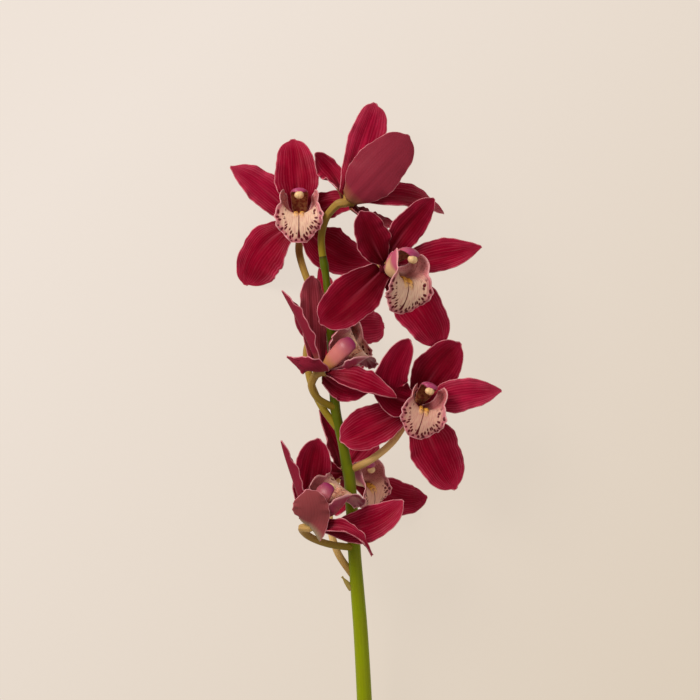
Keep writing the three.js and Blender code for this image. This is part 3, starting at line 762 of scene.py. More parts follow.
@dataclass(frozen=True)
class FleshyStemSkin:
    """The flower stem: a smooth fleshy green stalk under a thin cuticle, with tanned flower stalks.

    The eye sees a clean green with a soft satin light along it, very fine lengthwise streaks, stalks that
    turn olive and then tan towards the flower, a brown papery bract and a pale wet cut at the lower end.
    """

    name: str = "fleshy_green_stem"
    green: str = "#899700"
    # painted shade on the upper main stem among the blooms; also the colour of the fine dark streaks
    streak_and_shade_green: str = "#4e5a00"
    olive: str = "#8c761e"
    brown: str = "#a27c42"
    tan: str = "#f2ca8a"
    joint: str = "#3e3208"
    seat: str = "#74182a"  # where the tepals sit on the end of a stalk
    bract: str = "#9a8648"
    cut: str = "#c9cc86"
    streak: float = 0.8  # mm between streaks round the stem
    patch: float = 12.0  # mm, the size of its olive patches

    def material(self) -> bpy.types.Material:
        """Builds the material from its colours.

        Returns:
            A node material that reads the piece's "age" (share towards the tip, tanned, and 1 for a joint or
            -1 for the seat of the tepals) and "skin" (mm round, mm along, and 1 for the bract or -1 for the
            cut) attributes.
        """
        graph = Graph(self.name)
        add = graph.add
        age = add("Attribute", attribute_name="age", out="Vector")
        skin = add("Attribute", attribute_name="skin", out="Vector")
        ages = add("SeparateXYZ", age, out=None)
        skins = add("SeparateXYZ", skin, out=None)
        drawn_out = add("VectorMath", skin, (1 / self.streak, 0.05, 0.0), **TIMES)
        fine = add("TexNoise", drawn_out, 1.0, 3.0)
        patch = add("TexNoise", add("TexCoord", out="Object"), 1 / (self.patch * MM), 3.0)
        # painted shade: the main stem turns a darker green towards its top, where the blooms shade it
        main = add("ValToRGB", ages[0], stops=(
            (0.0, self.green), (0.4, self.green), (0.75, self.streak_and_shade_green), (1.0, self.streak_and_shade_green),
        ))
        tanned = add("ValToRGB", ages[1], stops=(
            (0.0, self.green), (0.3, self.olive), (0.6, self.brown), (1.0, self.tan),
        ))
        is_stalk = add("Math", ages[1], 0.01, operation="GREATER_THAN")
        ground = add("Mix", is_stalk, main, tanned, **COLOUR)
        dull = add("MapRange", fine, 0.35, 0.7, 0.0, 0.22)
        streaked = add("Mix", dull, ground, self.streak_and_shade_green, **COLOUR)
        light = add("MapRange", patch, 0.4, 0.75, 0.0, 0.2)
        patched = add("Mix", light, streaked, self.olive, **COLOUR)
        ringed = add("Mix", ages[2], patched, self.joint, **COLOUR)
        is_seat = add("Math", ages[2], -0.5, operation="LESS_THAN")
        ringed = add("Mix", is_seat, ringed, self.seat, **COLOUR)
        papery = add("Math", skins[2], 0.5, operation="GREATER_THAN")
        dry = add("Mix", papery, ringed, self.bract, **COLOUR)
        sawn = add("Math", skins[2], -0.5, operation="LESS_THAN")
        colour = add("Mix", sawn, dry, self.cut, **COLOUR)
        relief = add("Bump", named={"Height": fine, "Strength": 0.25, "Distance": 0.12 * MM})
        shader = add("BsdfPrincipled", named={
            "Base Color": colour, "Roughness": 0.42, "Normal": relief, "IOR": 1.44,
            "Specular IOR Level": 0.16, "Subsurface Weight": 0.08, "Subsurface Radius": (0.8, 1.0, 0.2),
            "Subsurface Scale": 1.0 * MM,
        })
        add("OutputMaterial", shader)
        return graph.material


@dataclass(frozen=True)
class BacklitPaperTable:
    """The table: seamless studio paper over a light panel, matt and warm, with a faint tooth.

    The eye sees a pale ground with a painted fall-off of light, a little darker away from the key light at
    the upper left, and hardly a shadow on it, because most of its light is its own glow, as if from a light
    panel below.
    """

    name: str = "backlit_seamless_paper"
    near: str = "#ebe0d6"  # painted light: the paler tone towards the key light at the upper left
    # painted fall-off: the darker tone away from the key light
    far: str = "#d6c7b3"
    reach: float = 0.36  # m, from the middle to where each tone is full
    fibre: float = 3.0  # mm
    glow: float = 0.94
    reflected: float = 0.12  # share of the light from above that it sends back

    def material(self) -> bpy.types.Material:
        """Builds the material, whose tone runs from corner to corner and wavers with its fibres.

        Returns:
            A node material that reads Object coordinates.
        """
        graph = Graph(self.name)
        add = graph.add
        place = add("TexCoord", out="Object")
        fibres = add("TexNoise", place, 1 / (self.fibre * MM), 3.0)
        # painted light fall-off: paler towards the upper left, where the key light stands, and darker towards
        # the lower right
        axes = add("SeparateXYZ", place, out=None)
        run = add("Math", axes[0], axes[1], operation="SUBTRACT")
        share = add("MapRange", run, -self.reach, self.reach, 0.0, 0.96)
        toned = add("Math", fibres, 0.04, share, operation="MULTIPLY_ADD")
        tone = add("Mix", toned, self.near, self.far, **COLOUR)
        dim = tuple(self.reflected * part for part in linear(self.near)[:3])
        matt = add("BsdfDiffuse", named={"Color": (*dim, 1.0), "Roughness": 1.0})
        lit = add("Emission", named={"Color": tone, "Strength": self.glow})
        add("OutputMaterial", add("AddShader", matt, lit))
        return graph.material


# ---- sepals and petals ------------------------------------------------------------------------------------


WAXY_CRIMSON = WaxyTepalTissue("waxy_crimson_tepal")
DEEP_CRIMSON = replace(
    WAXY_CRIMSON, name="deep_crimson_tepal", face="#74001a", flank="#961434", throat="#4e000a",
    back="#7e1e32", ridge_highlight=0.08,
)
EVEN_CRIMSON = replace(DEEP_CRIMSON, name="even_crimson_tepal", face="#7a0220", throat="#6e001a")
BRIGHT_CRIMSON = replace(
    WAXY_CRIMSON, name="bright_crimson_tepal", face="#a6123a", flank="#c43a5a", throat="#820420",
    back="#a23a4e",
)
FADED_ROSE = replace(WAXY_CRIMSON, name="faded_rose_tepal", back="#8a4044", back_claw="#94866c")
DULL_BACKED = replace(WAXY_CRIMSON, name="dull_backed_tepal", back="#84293a")
PALE_CRIMSON = replace(
    WAXY_CRIMSON, name="pale_crimson_tepal", face="#a23c4a", flank="#b4505e", throat="#84202e",
    back="#964850",
)


@dataclass(frozen=True)
class Tepal:
    """A sepal or petal: two points of its midrib from the bloom's centre, its width and its shape."""

    middle: Point
    tip: Point
    width: float
    face: Point | None = None  # the way its inner face looks; by default that of the bloom
    depth: float | None = None  # how far its base is along the bloom's axis
    cup: tuple[float, float] = (0.5, 0.3)  # half-angle of the section's arc at base and tip, radians
    claw: float = 0.28  # width of the base as a share of the full width
    widest: float = 0.5  # share of the length where it is widest
    full: float = 3.2  # the larger, the nearer to the tip it stays wide
    round: float = 0.6  # the smaller, the blunter the tip
    rolled: tuple[float, float] = (0.5, 0.5)  # how far the right and the left edge bend back, mm
    lean: float = 0.0  # by how much its left half is broader, and its right half narrower, than the mean
    relief: float = 1.0  # how deep its groove, folds and ribs are, as a share of the usual
    drawn: Point = (0.0, 0.0, 0.0)  # how far the left half of its base is drawn out, mm
    look: WaxyTepalTissue = WAXY_CRIMSON


@dataclass(frozen=True)
class TepalMaker:
    """Builds sepals and petals. Its sizes are in millimetres."""

    sheet: Sheet = Sheet(rows=72, columns=40)
    base_ring: float = 3.45  # distance of a base from the bloom's axis
    base_half: float = 5.2  # bases behind the petals are at least this broad, so that no light gets through
    base_share: float = 0.6  # but not a larger share of the half-width than this
    sepal_depth: float = -1.2  # sepals start this far along the bloom's axis
    petal_depth: float = 0.9
    middle_thickness: float = 1.25
    edge_thickness: float = 0.5
    blunt_end: float = 0.55  # half-width that is left at the very tip
    rise_sharpness: float = 1.4  # the larger, the more slender the claw
    fullness: float = 1.035  # living tissue is this much broader than the solids' thin, even sheets
    keel_depth: float = 0.5  # the groove along the middle of the inner face
    keel_width: float = 1.6
    shoulder: float = 0.55  # the swelling on each side of the groove, which fades towards the tip
    shoulder_at: float = 3.0
    shoulder_width: float = 1.7
    shoulder_room: float = 6.0  # half-width under which the swelling is lower
    wave_height: float = 0.6
    wave_count: float = 3.0
    wave_lag: float = 1.3  # radians between the two edges' waves
    wave_power: float = 3.0  # the larger, the nearer to the edges the waves stay
    ripple_height: float = 0.42  # small ripples near the edges, on top of the waves
    ripple_count: float = 5.5
    ripple_power: float = 4.0
    roll_power: float = 4.0
    inside_bend: float = 1.3  # keeps the inner edge of a bent midrib short of the bend's middle
    bump: float = 0.035  # how far the outline swings in and out, as a share of the half-width
    bump_count: float = 2.4
    nick: float = 0.012  # and its small unevenness
    nick_count: float = 8.5
    far_side: float = 2.1  # by how much the unevenness of one edge is ahead of the other's
    point: float = 1.3  # the small point at the tip
    point_width: float = 1.5
    drawn_reach: float = 0.32  # share of the length over which a drawn-out base fades
    pleat: float = 0.08  # broad, shallow folds along the tissue, between the groups of veins
    pleat_spacing: float = 3.7
    pleat_wander: float = 0.25  # how far they sway to the side, as a share of the spacing
    pleat_turns: float = 5.0  # radians of that sway from base to tip
    swell_height: float = 0.3  # slow unevenness of the whole face
    swell_across: float = 0.42  # its radians to a millimetre across
    swell_along: float = 7.5  # and from base to tip
    rib_height: float = 0.035  # the veins stand this far out of the tissue
    vein_spacing: float = 1.5

    def half_width(self, tepal: Tepal, claw: float, u: Grid, v: Grid, phase: float) -> Grid:
        """The half-width of a sepal or petal.

        It rises along a sine from the claw to the widest place, then falls as (1 - u^full)^round. Its outline
        swings in and out by a few hundredths.

        Args:
            tepal: its sizes.
            claw: width of the base as a share of the full width.
            u: base to tip.
            v: edge to edge, -1 to 1.
            phase: shifts the unevenness.

        Returns:
            Millimetres from the midrib to the edge, along the tissue.
        """
        rise = np.sin(np.pi / 2 * np.minimum(1, u / tepal.widest)) ** self.rise_sharpness
        fall = np.maximum(0, 1 - u**tepal.full) ** tepal.round
        full = tepal.width / 2 * (claw + (1 - claw) * rise) * fall
        side = np.where(v > 0, self.far_side * phase, phase)
        outline = self.bump * waves(self.bump_count, u, side)
        outline = outline + self.nick * waves(self.nick_count, u, 3 * side)
        half = np.sqrt(full**2 + (self.blunt_end * u**4) ** 2) * (1 + swing(u) * np.abs(v) * outline)
        return half * self.fullness * (1 + tepal.lean * np.sign(v))

    def height(self, tepal: Tepal, half: Grid, x: Grid, u: Grid, v: Grid, phase: float) -> Grid:
        """How far the inner face rises over its midrib.

        The section is an arc that cups to both sides, with a groove in the middle, waves and ripples towards
        edges that roll back, folds along it, and ribs.

        Args:
            tepal: its sizes.
            half: the half-width.
            x: the distance from the midrib.
            u: base to tip.
            v: edge to edge, -1 to 1.
            phase: shifts the ripples.

        Returns:
            Millimetres.
        """
        cup, out, bend = blend(*tepal.cup, u), np.abs(v), swing(u)
        lag = np.where(v > 0, self.wave_lag, 0.0)
        wave = self.wave_height * bend * out**self.wave_power * waves(self.wave_count, u, lag)
        ripple = self.ripple_height * bend * out**self.ripple_power
        ripple = ripple * np.sin(2 * np.pi * self.ripple_count * u + phase + 2 * lag)
        keel = self.keel_depth * bell(x / self.keel_width) * np.sqrt(1 - u)
        beside = bell((np.abs(x) - self.shoulder_at) / self.shoulder_width)
        swell = self.shoulder * beside * (1 - u) * np.clip(half / self.shoulder_room, 0, 1)
        ribs = self.rib_height * np.cos(2 * np.pi * (tepal.width / 2 / self.vein_spacing) * v)
        wander = self.pleat_wander * np.sin(self.pleat_turns * u + phase)
        folds = self.pleat * np.cos(2 * np.pi * (x / self.pleat_spacing + wander))
        slow = self.swell_height * np.sin(self.swell_across * x + phase)
        slow = slow * np.sin(self.swell_along * u + 1.7 * phase)
        roll = np.where(v > 0, tepal.rolled[1], tepal.rolled[0]) * out**self.roll_power * bend
        relief = swell - keel + bend * ((1 - v**4) * (folds - ribs) + slow)
        return half * (1 - np.cos(v * cup)) / cup + wave + ripple - roll + tepal.relief * relief

    def surface(self, tepal: Tepal, forward: Grid, centre: Grid, phase: float) -> Surface:
        """The inner face of a sepal or petal.

        Its midrib is a parabola from the base through the middle to the tip. The face is narrower on the
        inside of a bend, and runs out into a point.

        Args:
            tepal: its sizes.
            forward: the way the bloom looks.
            centre: the bloom's centre, mm.
            phase: shifts the small ripples, so that no two pieces have the same.

        Returns:
            A function from u (base to tip) and v (edge to edge, -1 to 1) to points.
        """
        middle, tip = np.array(tepal.middle), np.array(tepal.tip)
        layer = self.petal_depth if tepal.depth is None else tepal.depth
        base = across(middle, forward) * self.base_ring + forward * layer
        control = 2 * middle - (base + tip) / 2
        face = forward if tepal.face is None else unit(np.array(tepal.face, float))
        claw = tepal.claw
        if layer < 0:
            claw = max(claw, min(self.base_share, 2 * self.base_half / tepal.width))
        bend = 2 * (base - 2 * control + tip)

        def inner(u: Grid, v: Grid) -> Grid:
            """Finds points of the face.

            Args:
                u: base to tip.
                v: edge to edge.

            Returns:
                The points.
            """
            along = u[..., None]
            rib = (1 - along) ** 2 * base + 2 * along * (1 - along) * control + along**2 * tip
            run = (1 - along) * (control - base) + along * (tip - control)
            tangent = unit(run)
            up = across(np.broadcast_to(face, tangent.shape), tangent)
            sideways = np.cross(up, tangent)
            half = self.half_width(tepal, claw, u, v, phase)
            curving = np.sign(v) * (sideways @ bend) / (2 * np.linalg.norm(run, axis=-1)) ** 2
            half = half / (1 + (np.maximum(curving, 0) * half * self.inside_bend) ** 4) ** 0.25
            cup = blend(*tepal.cup, u)
            x = half * np.sin(v * cup) / cup
            height = self.height(tepal, half, x, u, v, phase)
            point = self.point * u**12 * bell(x / self.point_width)
            hanging = np.clip(v, 0, 1) ** 1.5 * bell(u / self.drawn_reach)
            rib = rib + hanging[..., None] * np.array(tepal.drawn)
            ahead, aside, above = (part[..., None] for part in (point, x, height))
            return centre + rib + tangent * ahead + sideways * aside + up * above

        return inner

    def build(self, name: str, tepal: Tepal, forward: Grid, centre: Grid, phase: float) -> bpy.types.Object:
        """Builds one sepal or petal with its attributes.

        Args:
            name: the piece's name.
            tepal: its sizes.
            forward: the way the bloom looks.
            centre: the bloom's centre, mm.
            phase: shifts the small ripples.

        Returns:
            The piece.
        """
        u, v = self.sheet.grid()
        thickness = blend(self.middle_thickness, self.edge_thickness, np.maximum(v**2, u**4))
        points = self.sheet.skin(self.surface(tepal, forward, centre, phase), thickness, 0.0)
        inner = points[:, : self.sheet.columns + 1]
        rim = edge_distance(inner, outline_of(inner))
        length = np.cumsum(step_lengths(inner), axis=0)
        veins = v * tepal.width / 2 / self.vein_spacing
        spread = self.sheet.spread
        lay = np.stack([spread(veins, 0.0), spread(length, 0.0), spread(v, 0.0)], axis=-1)
        lay[:, self.sheet.columns + 1] = lay[:, self.sheet.columns]
        lay[:, -1] = lay[:, 0]
        facing_in = spread(np.ones_like(u), 0.5, np.zeros_like(u))
        where = np.stack([spread(rim, 0.0), spread(u, u[:, 0]), facing_in], axis=-1)
        return make_mesh(name, points.reshape(-1, 3), self.sheet.faces(), {"lay": lay, "where": where})


# ---- the lip and the column -------------------------------------------------------------------------------


HEAVILY_SPOTTED = replace(
    SpottedLipTissue(), name="heavily_spotted_lip", cream="#d8a48c", dash_along=1.8, dash_deep=2.8,
    dash_size=1.2,
)
ROSY_LIP = replace(SpottedLipTissue(), name="rosy_spotted_lip", cream="#cda08c", side_lobe="#c06c70")
PALE_CALLUS = replace(
    SpottedLipTissue(), name="pale_callus_lip", cream="#e2b8a0", callus="#d49c80", side_lobe="#b25a64",
    back="#98344e", rose="#a24c5e", throat="#802a34", foot="#a8505a",
)
OLDER_COLUMN = replace(ColumnTissue(), name="older_column", back="#c2706c", foot="#b47c48", tip="#861c50")


@dataclass(frozen=True)
class LipMaker:
    """Builds lips: a trough below the column with a raised lobe on each side and a frilled lobe in front."""

    sheet: Sheet = Sheet(rows=104, columns=72, crowding=1.5)
    thickness: float = 0.9
    edge_thickness: float = 0.5
    # share of the length, then place along the bloom's axis and towards the dorsal sepal
    line: tuple[Point, ...] = (
        (0, 0.8, -2.2), (0.18, 8, -5), (0.36, 15, -5.2), (0.5, 21, -4.8), (0.64, 25, -7.5), (0.82, 25.5, -15),
        (1, 21.5, -22),
    )
    # share of the length, half-width along the curved section, half-angle that the section wraps (radians)
    section: tuple[Point, ...] = (
        (0, 4.6, 1.9), (0.16, 13, 2), (0.3, 22, 2.3), (0.45, 25, 2.2), (0.55, 14.2, 1.25), (0.66, 14.6, 0.4),
        (0.78, 13, 0), (0.9, 9, -0.4), (1, 4.6, -0.4),
    )
    frill: float = 0.9  # height of the front lobe's waves
    frill_waves: float = 4.5
    frill_lag: float = 0.8  # radians between the two edges' waves
    frill_from: float = 0.5  # share of the length where the frill starts
    frill_over: float = 0.15  # and over which it grows
    frill_power: float = 2.5  # the larger, the nearer to the edge it stays
    crimp: float = 0.38  # the smaller frill on top, with more waves
    crimp_waves: float = 14.0
    crimp_power: float = 5.0
    scallop: float = 0.022  # how far the edge goes in and out, as a share of the half-width
    scallop_waves: float = 12.0
    scallop_behind: float = 0.4  # share of the scallops' depth behind the front lobe
    hub: float = 0.64  # share of the length where the front lobe's fan of veins has its middle
    front_radius: float = 12.5  # mm, turns angles round the hub into lengths along the edge
    callus: float = 1.5  # height of the two ridges that lead into the throat
    callus_from: float = 0.3
    callus_to: float = 0.66
    callus_width: float = 0.8
    lobe_middle: float = 0.38  # share of the length where the side lobes are highest
    lobe_reach: float = 0.14
    lobes: tuple[float, float] = (1.0, 1.0)  # how far the left and the right side lobe stand up, as a share

    def surface(self, u: Grid, v: Grid) -> Grid:
        """The inner face in the bloom's directions (right, crown, forward), before it is scaled.

        A line in the bloom's plane of symmetry carries arcs across it: x = half * sin(v * wrap) / wrap and
        lift = half * (1 - cos(v * wrap)) / wrap, with a frill on the front lobe and two ridges in the trough.

        Args:
            u: share of the length.
            v: edge to edge, -1 to 1.

        Returns:
            The points.
        """
        v = -v
        line, section = np.array(self.line, float), np.array(self.section, float)
        slope = slope_of(line, u)
        half, wrap = eased(section, 1, u), eased(section, 2, u)
        wrap = np.where(np.abs(wrap) < SMALL_STEP, SMALL_STEP, wrap)
        strength = np.clip((u - self.frill_from) / self.frill_over, 0, 1)
        lag = np.where(v > 0, self.frill_lag, 0.0)
        scallop = self.scallop * np.abs(v) ** 3 * waves(self.scallop_waves, u, 3 * lag)
        half = half * (1 + blend(self.scallop_behind, 1, strength) * scallop)
        side = np.where(v > 0, self.lobes[1], self.lobes[0])
        half = half * (1 + (side - 1) * bell((u - self.lobe_middle) / self.lobe_reach))
        frill = self.frill * np.abs(v) ** self.frill_power * waves(self.frill_waves, u, lag)
        crimp = self.crimp * np.abs(v) ** self.crimp_power * waves(self.crimp_waves, u, 2 * lag)
        middle = (self.callus_from + self.callus_to) / 2
        reach = np.clip(1 - np.abs((u - middle) / (self.callus_to - middle)) ** 3, 0, 1)
        ridge = self.callus * reach * bell((np.abs(v * half) - CALLUS_GAP) / self.callus_width)
        lift = half * (1 - np.cos(v * wrap)) / wrap + strength * (frill + crimp) + ridge
        x = half * np.sin(v * wrap) / wrap
        return np.stack([x, smooth(line, 2, u) + lift * slope[0], smooth(line, 1, u) - lift * slope[1]], -1)

    def build(self, name: str, bloom: "Bloom") -> bpy.types.Object:
        """Builds a bloom's lip with its attributes.

        Args:
            name: the piece's name.
            bloom: the bloom that it belongs to.

        Returns:
            The piece.
        """
        u, v = self.sheet.grid()
        thickness = blend(self.thickness, self.edge_thickness, np.maximum(v**4, u**8))
        local = self.sheet.skin(replace(self, lobes=bloom.lobes).surface, thickness, None)
        half = eased(np.array(self.section, float), 1, u)
        middle = local[:, self.sheet.columns // 2]
        length = np.cumsum(step_lengths(middle))[:, None] + 0 * u
        flat = np.stack([-v * half, length, 0 * u], axis=-1)
        rim = edge_distance(flat, outline_of(flat))
        hub = np.interp(self.hub, u[:, 0], length[:, 0])
        arc = self.front_radius * np.arctan2(flat[..., 0], length - hub)
        spread = self.sheet.spread
        facing_in = spread(np.zeros_like(u), 0.5, np.ones_like(u))
        edges = np.stack([spread(arc, arc[:, 0]), spread(rim, 0.0), facing_in], axis=-1)
        edges[:, self.sheet.columns + 1, 0] = arc[:, -1]
        across_mm = spread(-v * half, half[:, 0])
        spot = np.stack([spread(u, u[:, 0]), across_mm, spread(length, length[:, 0])], axis=-1)
        points = bloom.placed(local.reshape(-1, 3))
        return make_mesh(name, points, self.sheet.faces(), {"edge": edges, "spot": spot})


@dataclass(frozen=True)
class ColumnMaker:
    """Builds columns: a bowed, half-round bar, hollow towards the lip, with a pale cap at its tip."""

    rows: int = 64
    sides: int = 40
    # share of the length, then place along the bloom's axis and towards the dorsal sepal
    line: tuple[Point, ...] = (
        (0, 1.6, 1.2), (0.35, 8, 6), (0.7, 16.5, 10.5), (0.9, 21.5, 10.2), (1, 23, 8.8),
    )
    # share of the length, half-width, half-thickness
    section: tuple[Point, ...] = (
        (0, 2.6, 1.6), (0.35, 4.6, 2.3), (0.74, 5.3, 2.5), (0.91, 4.3, 2.1), (1, 2.1, 0.9),
    )
    hollow_side: float = 0.55  # the face towards the lip is this much flatter than the back
    hollow_depth: float = 1.5  # and hollowed by this much between its two edges
    hollow_from: float = 0.2  # share of the length where the hollow starts
    hollow_to: float = 0.9
    hollow_ends: float = 12.0  # the larger, the more suddenly it starts and ends
    hollow_span: float = 1.6  # the larger, the more of the lower side is hollow
    back_span: float = 2.5  # the larger, the sharper the change of colour between back and hollow
    back_more: float = 1.1  # how far the back's colour comes round, as a sine
    cap_at: tuple[float, float] = (22.4, 7.4)
    cap_radius: float = 2.5
    cap_shape: Point = (1.12, 0.92, 0.95)
    cap_sides: int = 32
    cap_rows: int = 24
    cap_groove: float = 0.28  # the groove between the cap's two halves
    cap_groove_width: float = 0.16  # as a share of the cap's radius
    cap_groove_from: float = -0.4  # how far behind its middle the groove starts, as a share

    def bar(self) -> Shell:
        """The bar, in the bloom's directions.

        Each ring is an ellipse square to the line, flattened by `hollow_side` below and pushed in there by
        `hollow_depth`, so that its two edges stand out as thin wings.

        Returns:
            Its points, its faces and its "part" marks.
        """
        line, section = np.array(self.line, float), np.array(self.section, float)
        s, turn = np.meshgrid(np.linspace(0, 1, self.rows + 1), turns(self.sides), indexing="ij")
        slope = slope_of(line, s)
        lift = eased(section, 2, s) * np.sin(turn) * np.where(np.sin(turn) < 0, self.hollow_side, 1.0)
        reach = np.clip((s - self.hollow_from) * (self.hollow_to - s) * self.hollow_ends, 0, 1)
        lower = np.clip(-np.sin(turn) * self.hollow_span, 0, 1)
        lift = lift + self.hollow_depth * reach * lower * np.sin(turn) ** 2
        x = eased(section, 1, s) * np.cos(turn)
        points = np.stack([x, smooth(line, 2, s) + lift * slope[0], smooth(line, 1, s) - lift * slope[1]], -1)
        back = np.clip(np.sin(turn) * self.back_span + self.back_more, 0, 1)
        marks = np.stack([s, back, np.zeros_like(s)], axis=-1)
        marks = np.concatenate([marks.reshape(-1, 3), [[0, 1, 0], [1, 1, 0]]])
        return with_ends(points), tube_faces(self.rows, self.sides), marks

    def cap(self) -> Shell:
        """The cap, a ball with a groove along its middle, in the bloom's directions.

        Returns:
            Its points, its faces and its "part" marks.
        """
        down = np.linspace(0, np.pi, self.cap_rows + 1)
        polar, turn = np.meshgrid(down, turns(self.cap_sides), indexing="ij")
        ball = np.stack([np.sin(polar) * np.cos(turn), np.cos(polar), -np.sin(polar) * np.sin(turn)], axis=-1)
        groove = self.cap_groove * bell(ball[..., :1] / self.cap_groove_width)
        groove = groove * (ball[..., 2:] > self.cap_groove_from)
        place = np.array([0, self.cap_at[1], self.cap_at[0]])
        points = with_ends(ball * (self.cap_radius - groove) * np.array(self.cap_shape) + place)
        return points, tube_faces(self.cap_rows, self.cap_sides), np.tile([1.0, 0.0, 1.0], (len(points), 1))

    def build(self, name: str, bloom: "Bloom") -> bpy.types.Object:
        """Builds a bloom's column with its cap.

        Args:
            name: the piece's name.
            bloom: the bloom that it belongs to.

        Returns:
            The piece.
        """
        points, faces, marks = joined([self.bar(), self.cap()])
        return make_mesh(name, bloom.placed(points), faces, {"part": marks})


# ---- blooms -----------------------------------------------------------------------------------------------


@dataclass
class Looks:
    """The materials of the stem and its flowers, each built when it is first asked for."""

    built: dict[str, bpy.types.Material] = field(default_factory=dict)

    def material(self, look: "Finish") -> bpy.types.Material:
        """Finds the material of a finish, and builds it the first time.

        Args:
            look: the finish.

        Returns:
            The material.
        """
        if look.name not in self.built:
            self.built[look.name] = look.material()
        return self.built[look.name]


Finish = WaxyTepalTissue | SpottedLipTissue | ColumnTissue | FleshyStemSkin


@dataclass(frozen=True)
class Bloom:
    """One flower: five sepals and petals, a lip and a column round its centre."""

    number: int
    centre: Point  # where the stalk meets the flower
    facing: tuple[float, float]  # bearing anticlockwise from +X and height, degrees
    crown: Point  # roughly the way to the dorsal sepal
    size: float  # of the lip and the column
    tanned: float  # how far its stalk has turned from green to tan
    stalk: tuple[Point, ...]  # its stalk's points from the main stem, before the last one at the flower
    tepals: tuple[Tepal, ...]  # in the order of Place
    lobes: tuple[float, float] = (1.0, 1.0)  # how far the lip's left and right side lobes stand up, as shares
    lip_look: SpottedLipTissue = SpottedLipTissue()
    column_look: ColumnTissue = ColumnTissue()

    @property
    def forward(self) -> Grid:
        """The way the flower looks, as a unit vector."""
        bearing, height = np.radians(self.facing)
        return np.array([np.cos(bearing) * np.cos(height), np.sin(bearing) * np.cos(height), np.sin(height)])

    @property
    def axes(self) -> Grid:
        """Rows of the flower's right, crown and forward directions."""
        crown = across(np.array(self.crown, float), self.forward)
        return np.stack([np.cross(crown, self.forward), crown, self.forward])

    def placed(self, points: Grid) -> Grid:
        """Points in the flower's directions, scaled by its size and moved to its centre."""
        return np.array(self.centre) + self.size * points @ self.axes

    def build(self, tepals: TepalMaker, lips: LipMaker, columns: ColumnMaker, looks: Looks) -> None:
        """Builds and dresses the flower's seven pieces.

        Args:
            tepals: makes the sepals and petals.
            lips: makes the lip.
            columns: makes the column.
            looks: the materials.
        """
        centre = np.array(self.centre, float)
        for order, (place, tepal) in enumerate(zip(Place, self.tepals)):
            if tepal.depth is None and not place.is_petal:
                tepal = replace(tepal, depth=tepals.sepal_depth)
            phase = RIPPLE_TURN * (len(Place) * self.number + order)
            node = f"bloom_{self.number}_{place.value}"
            piece = tepals.build(f"tissue_{node}", tepal, self.forward, centre, phase)
            finish(piece, looks.material(tepal.look), node, Slot.TEPAL)
        for maker, look, slot in ((lips, self.lip_look, Slot.LIP), (columns, self.column_look, Slot.COLUMN)):
            node = f"bloom_{self.number}_{slot.value}"
            finish(maker.build(f"tissue_{node}", self), looks.material(look), node, slot)


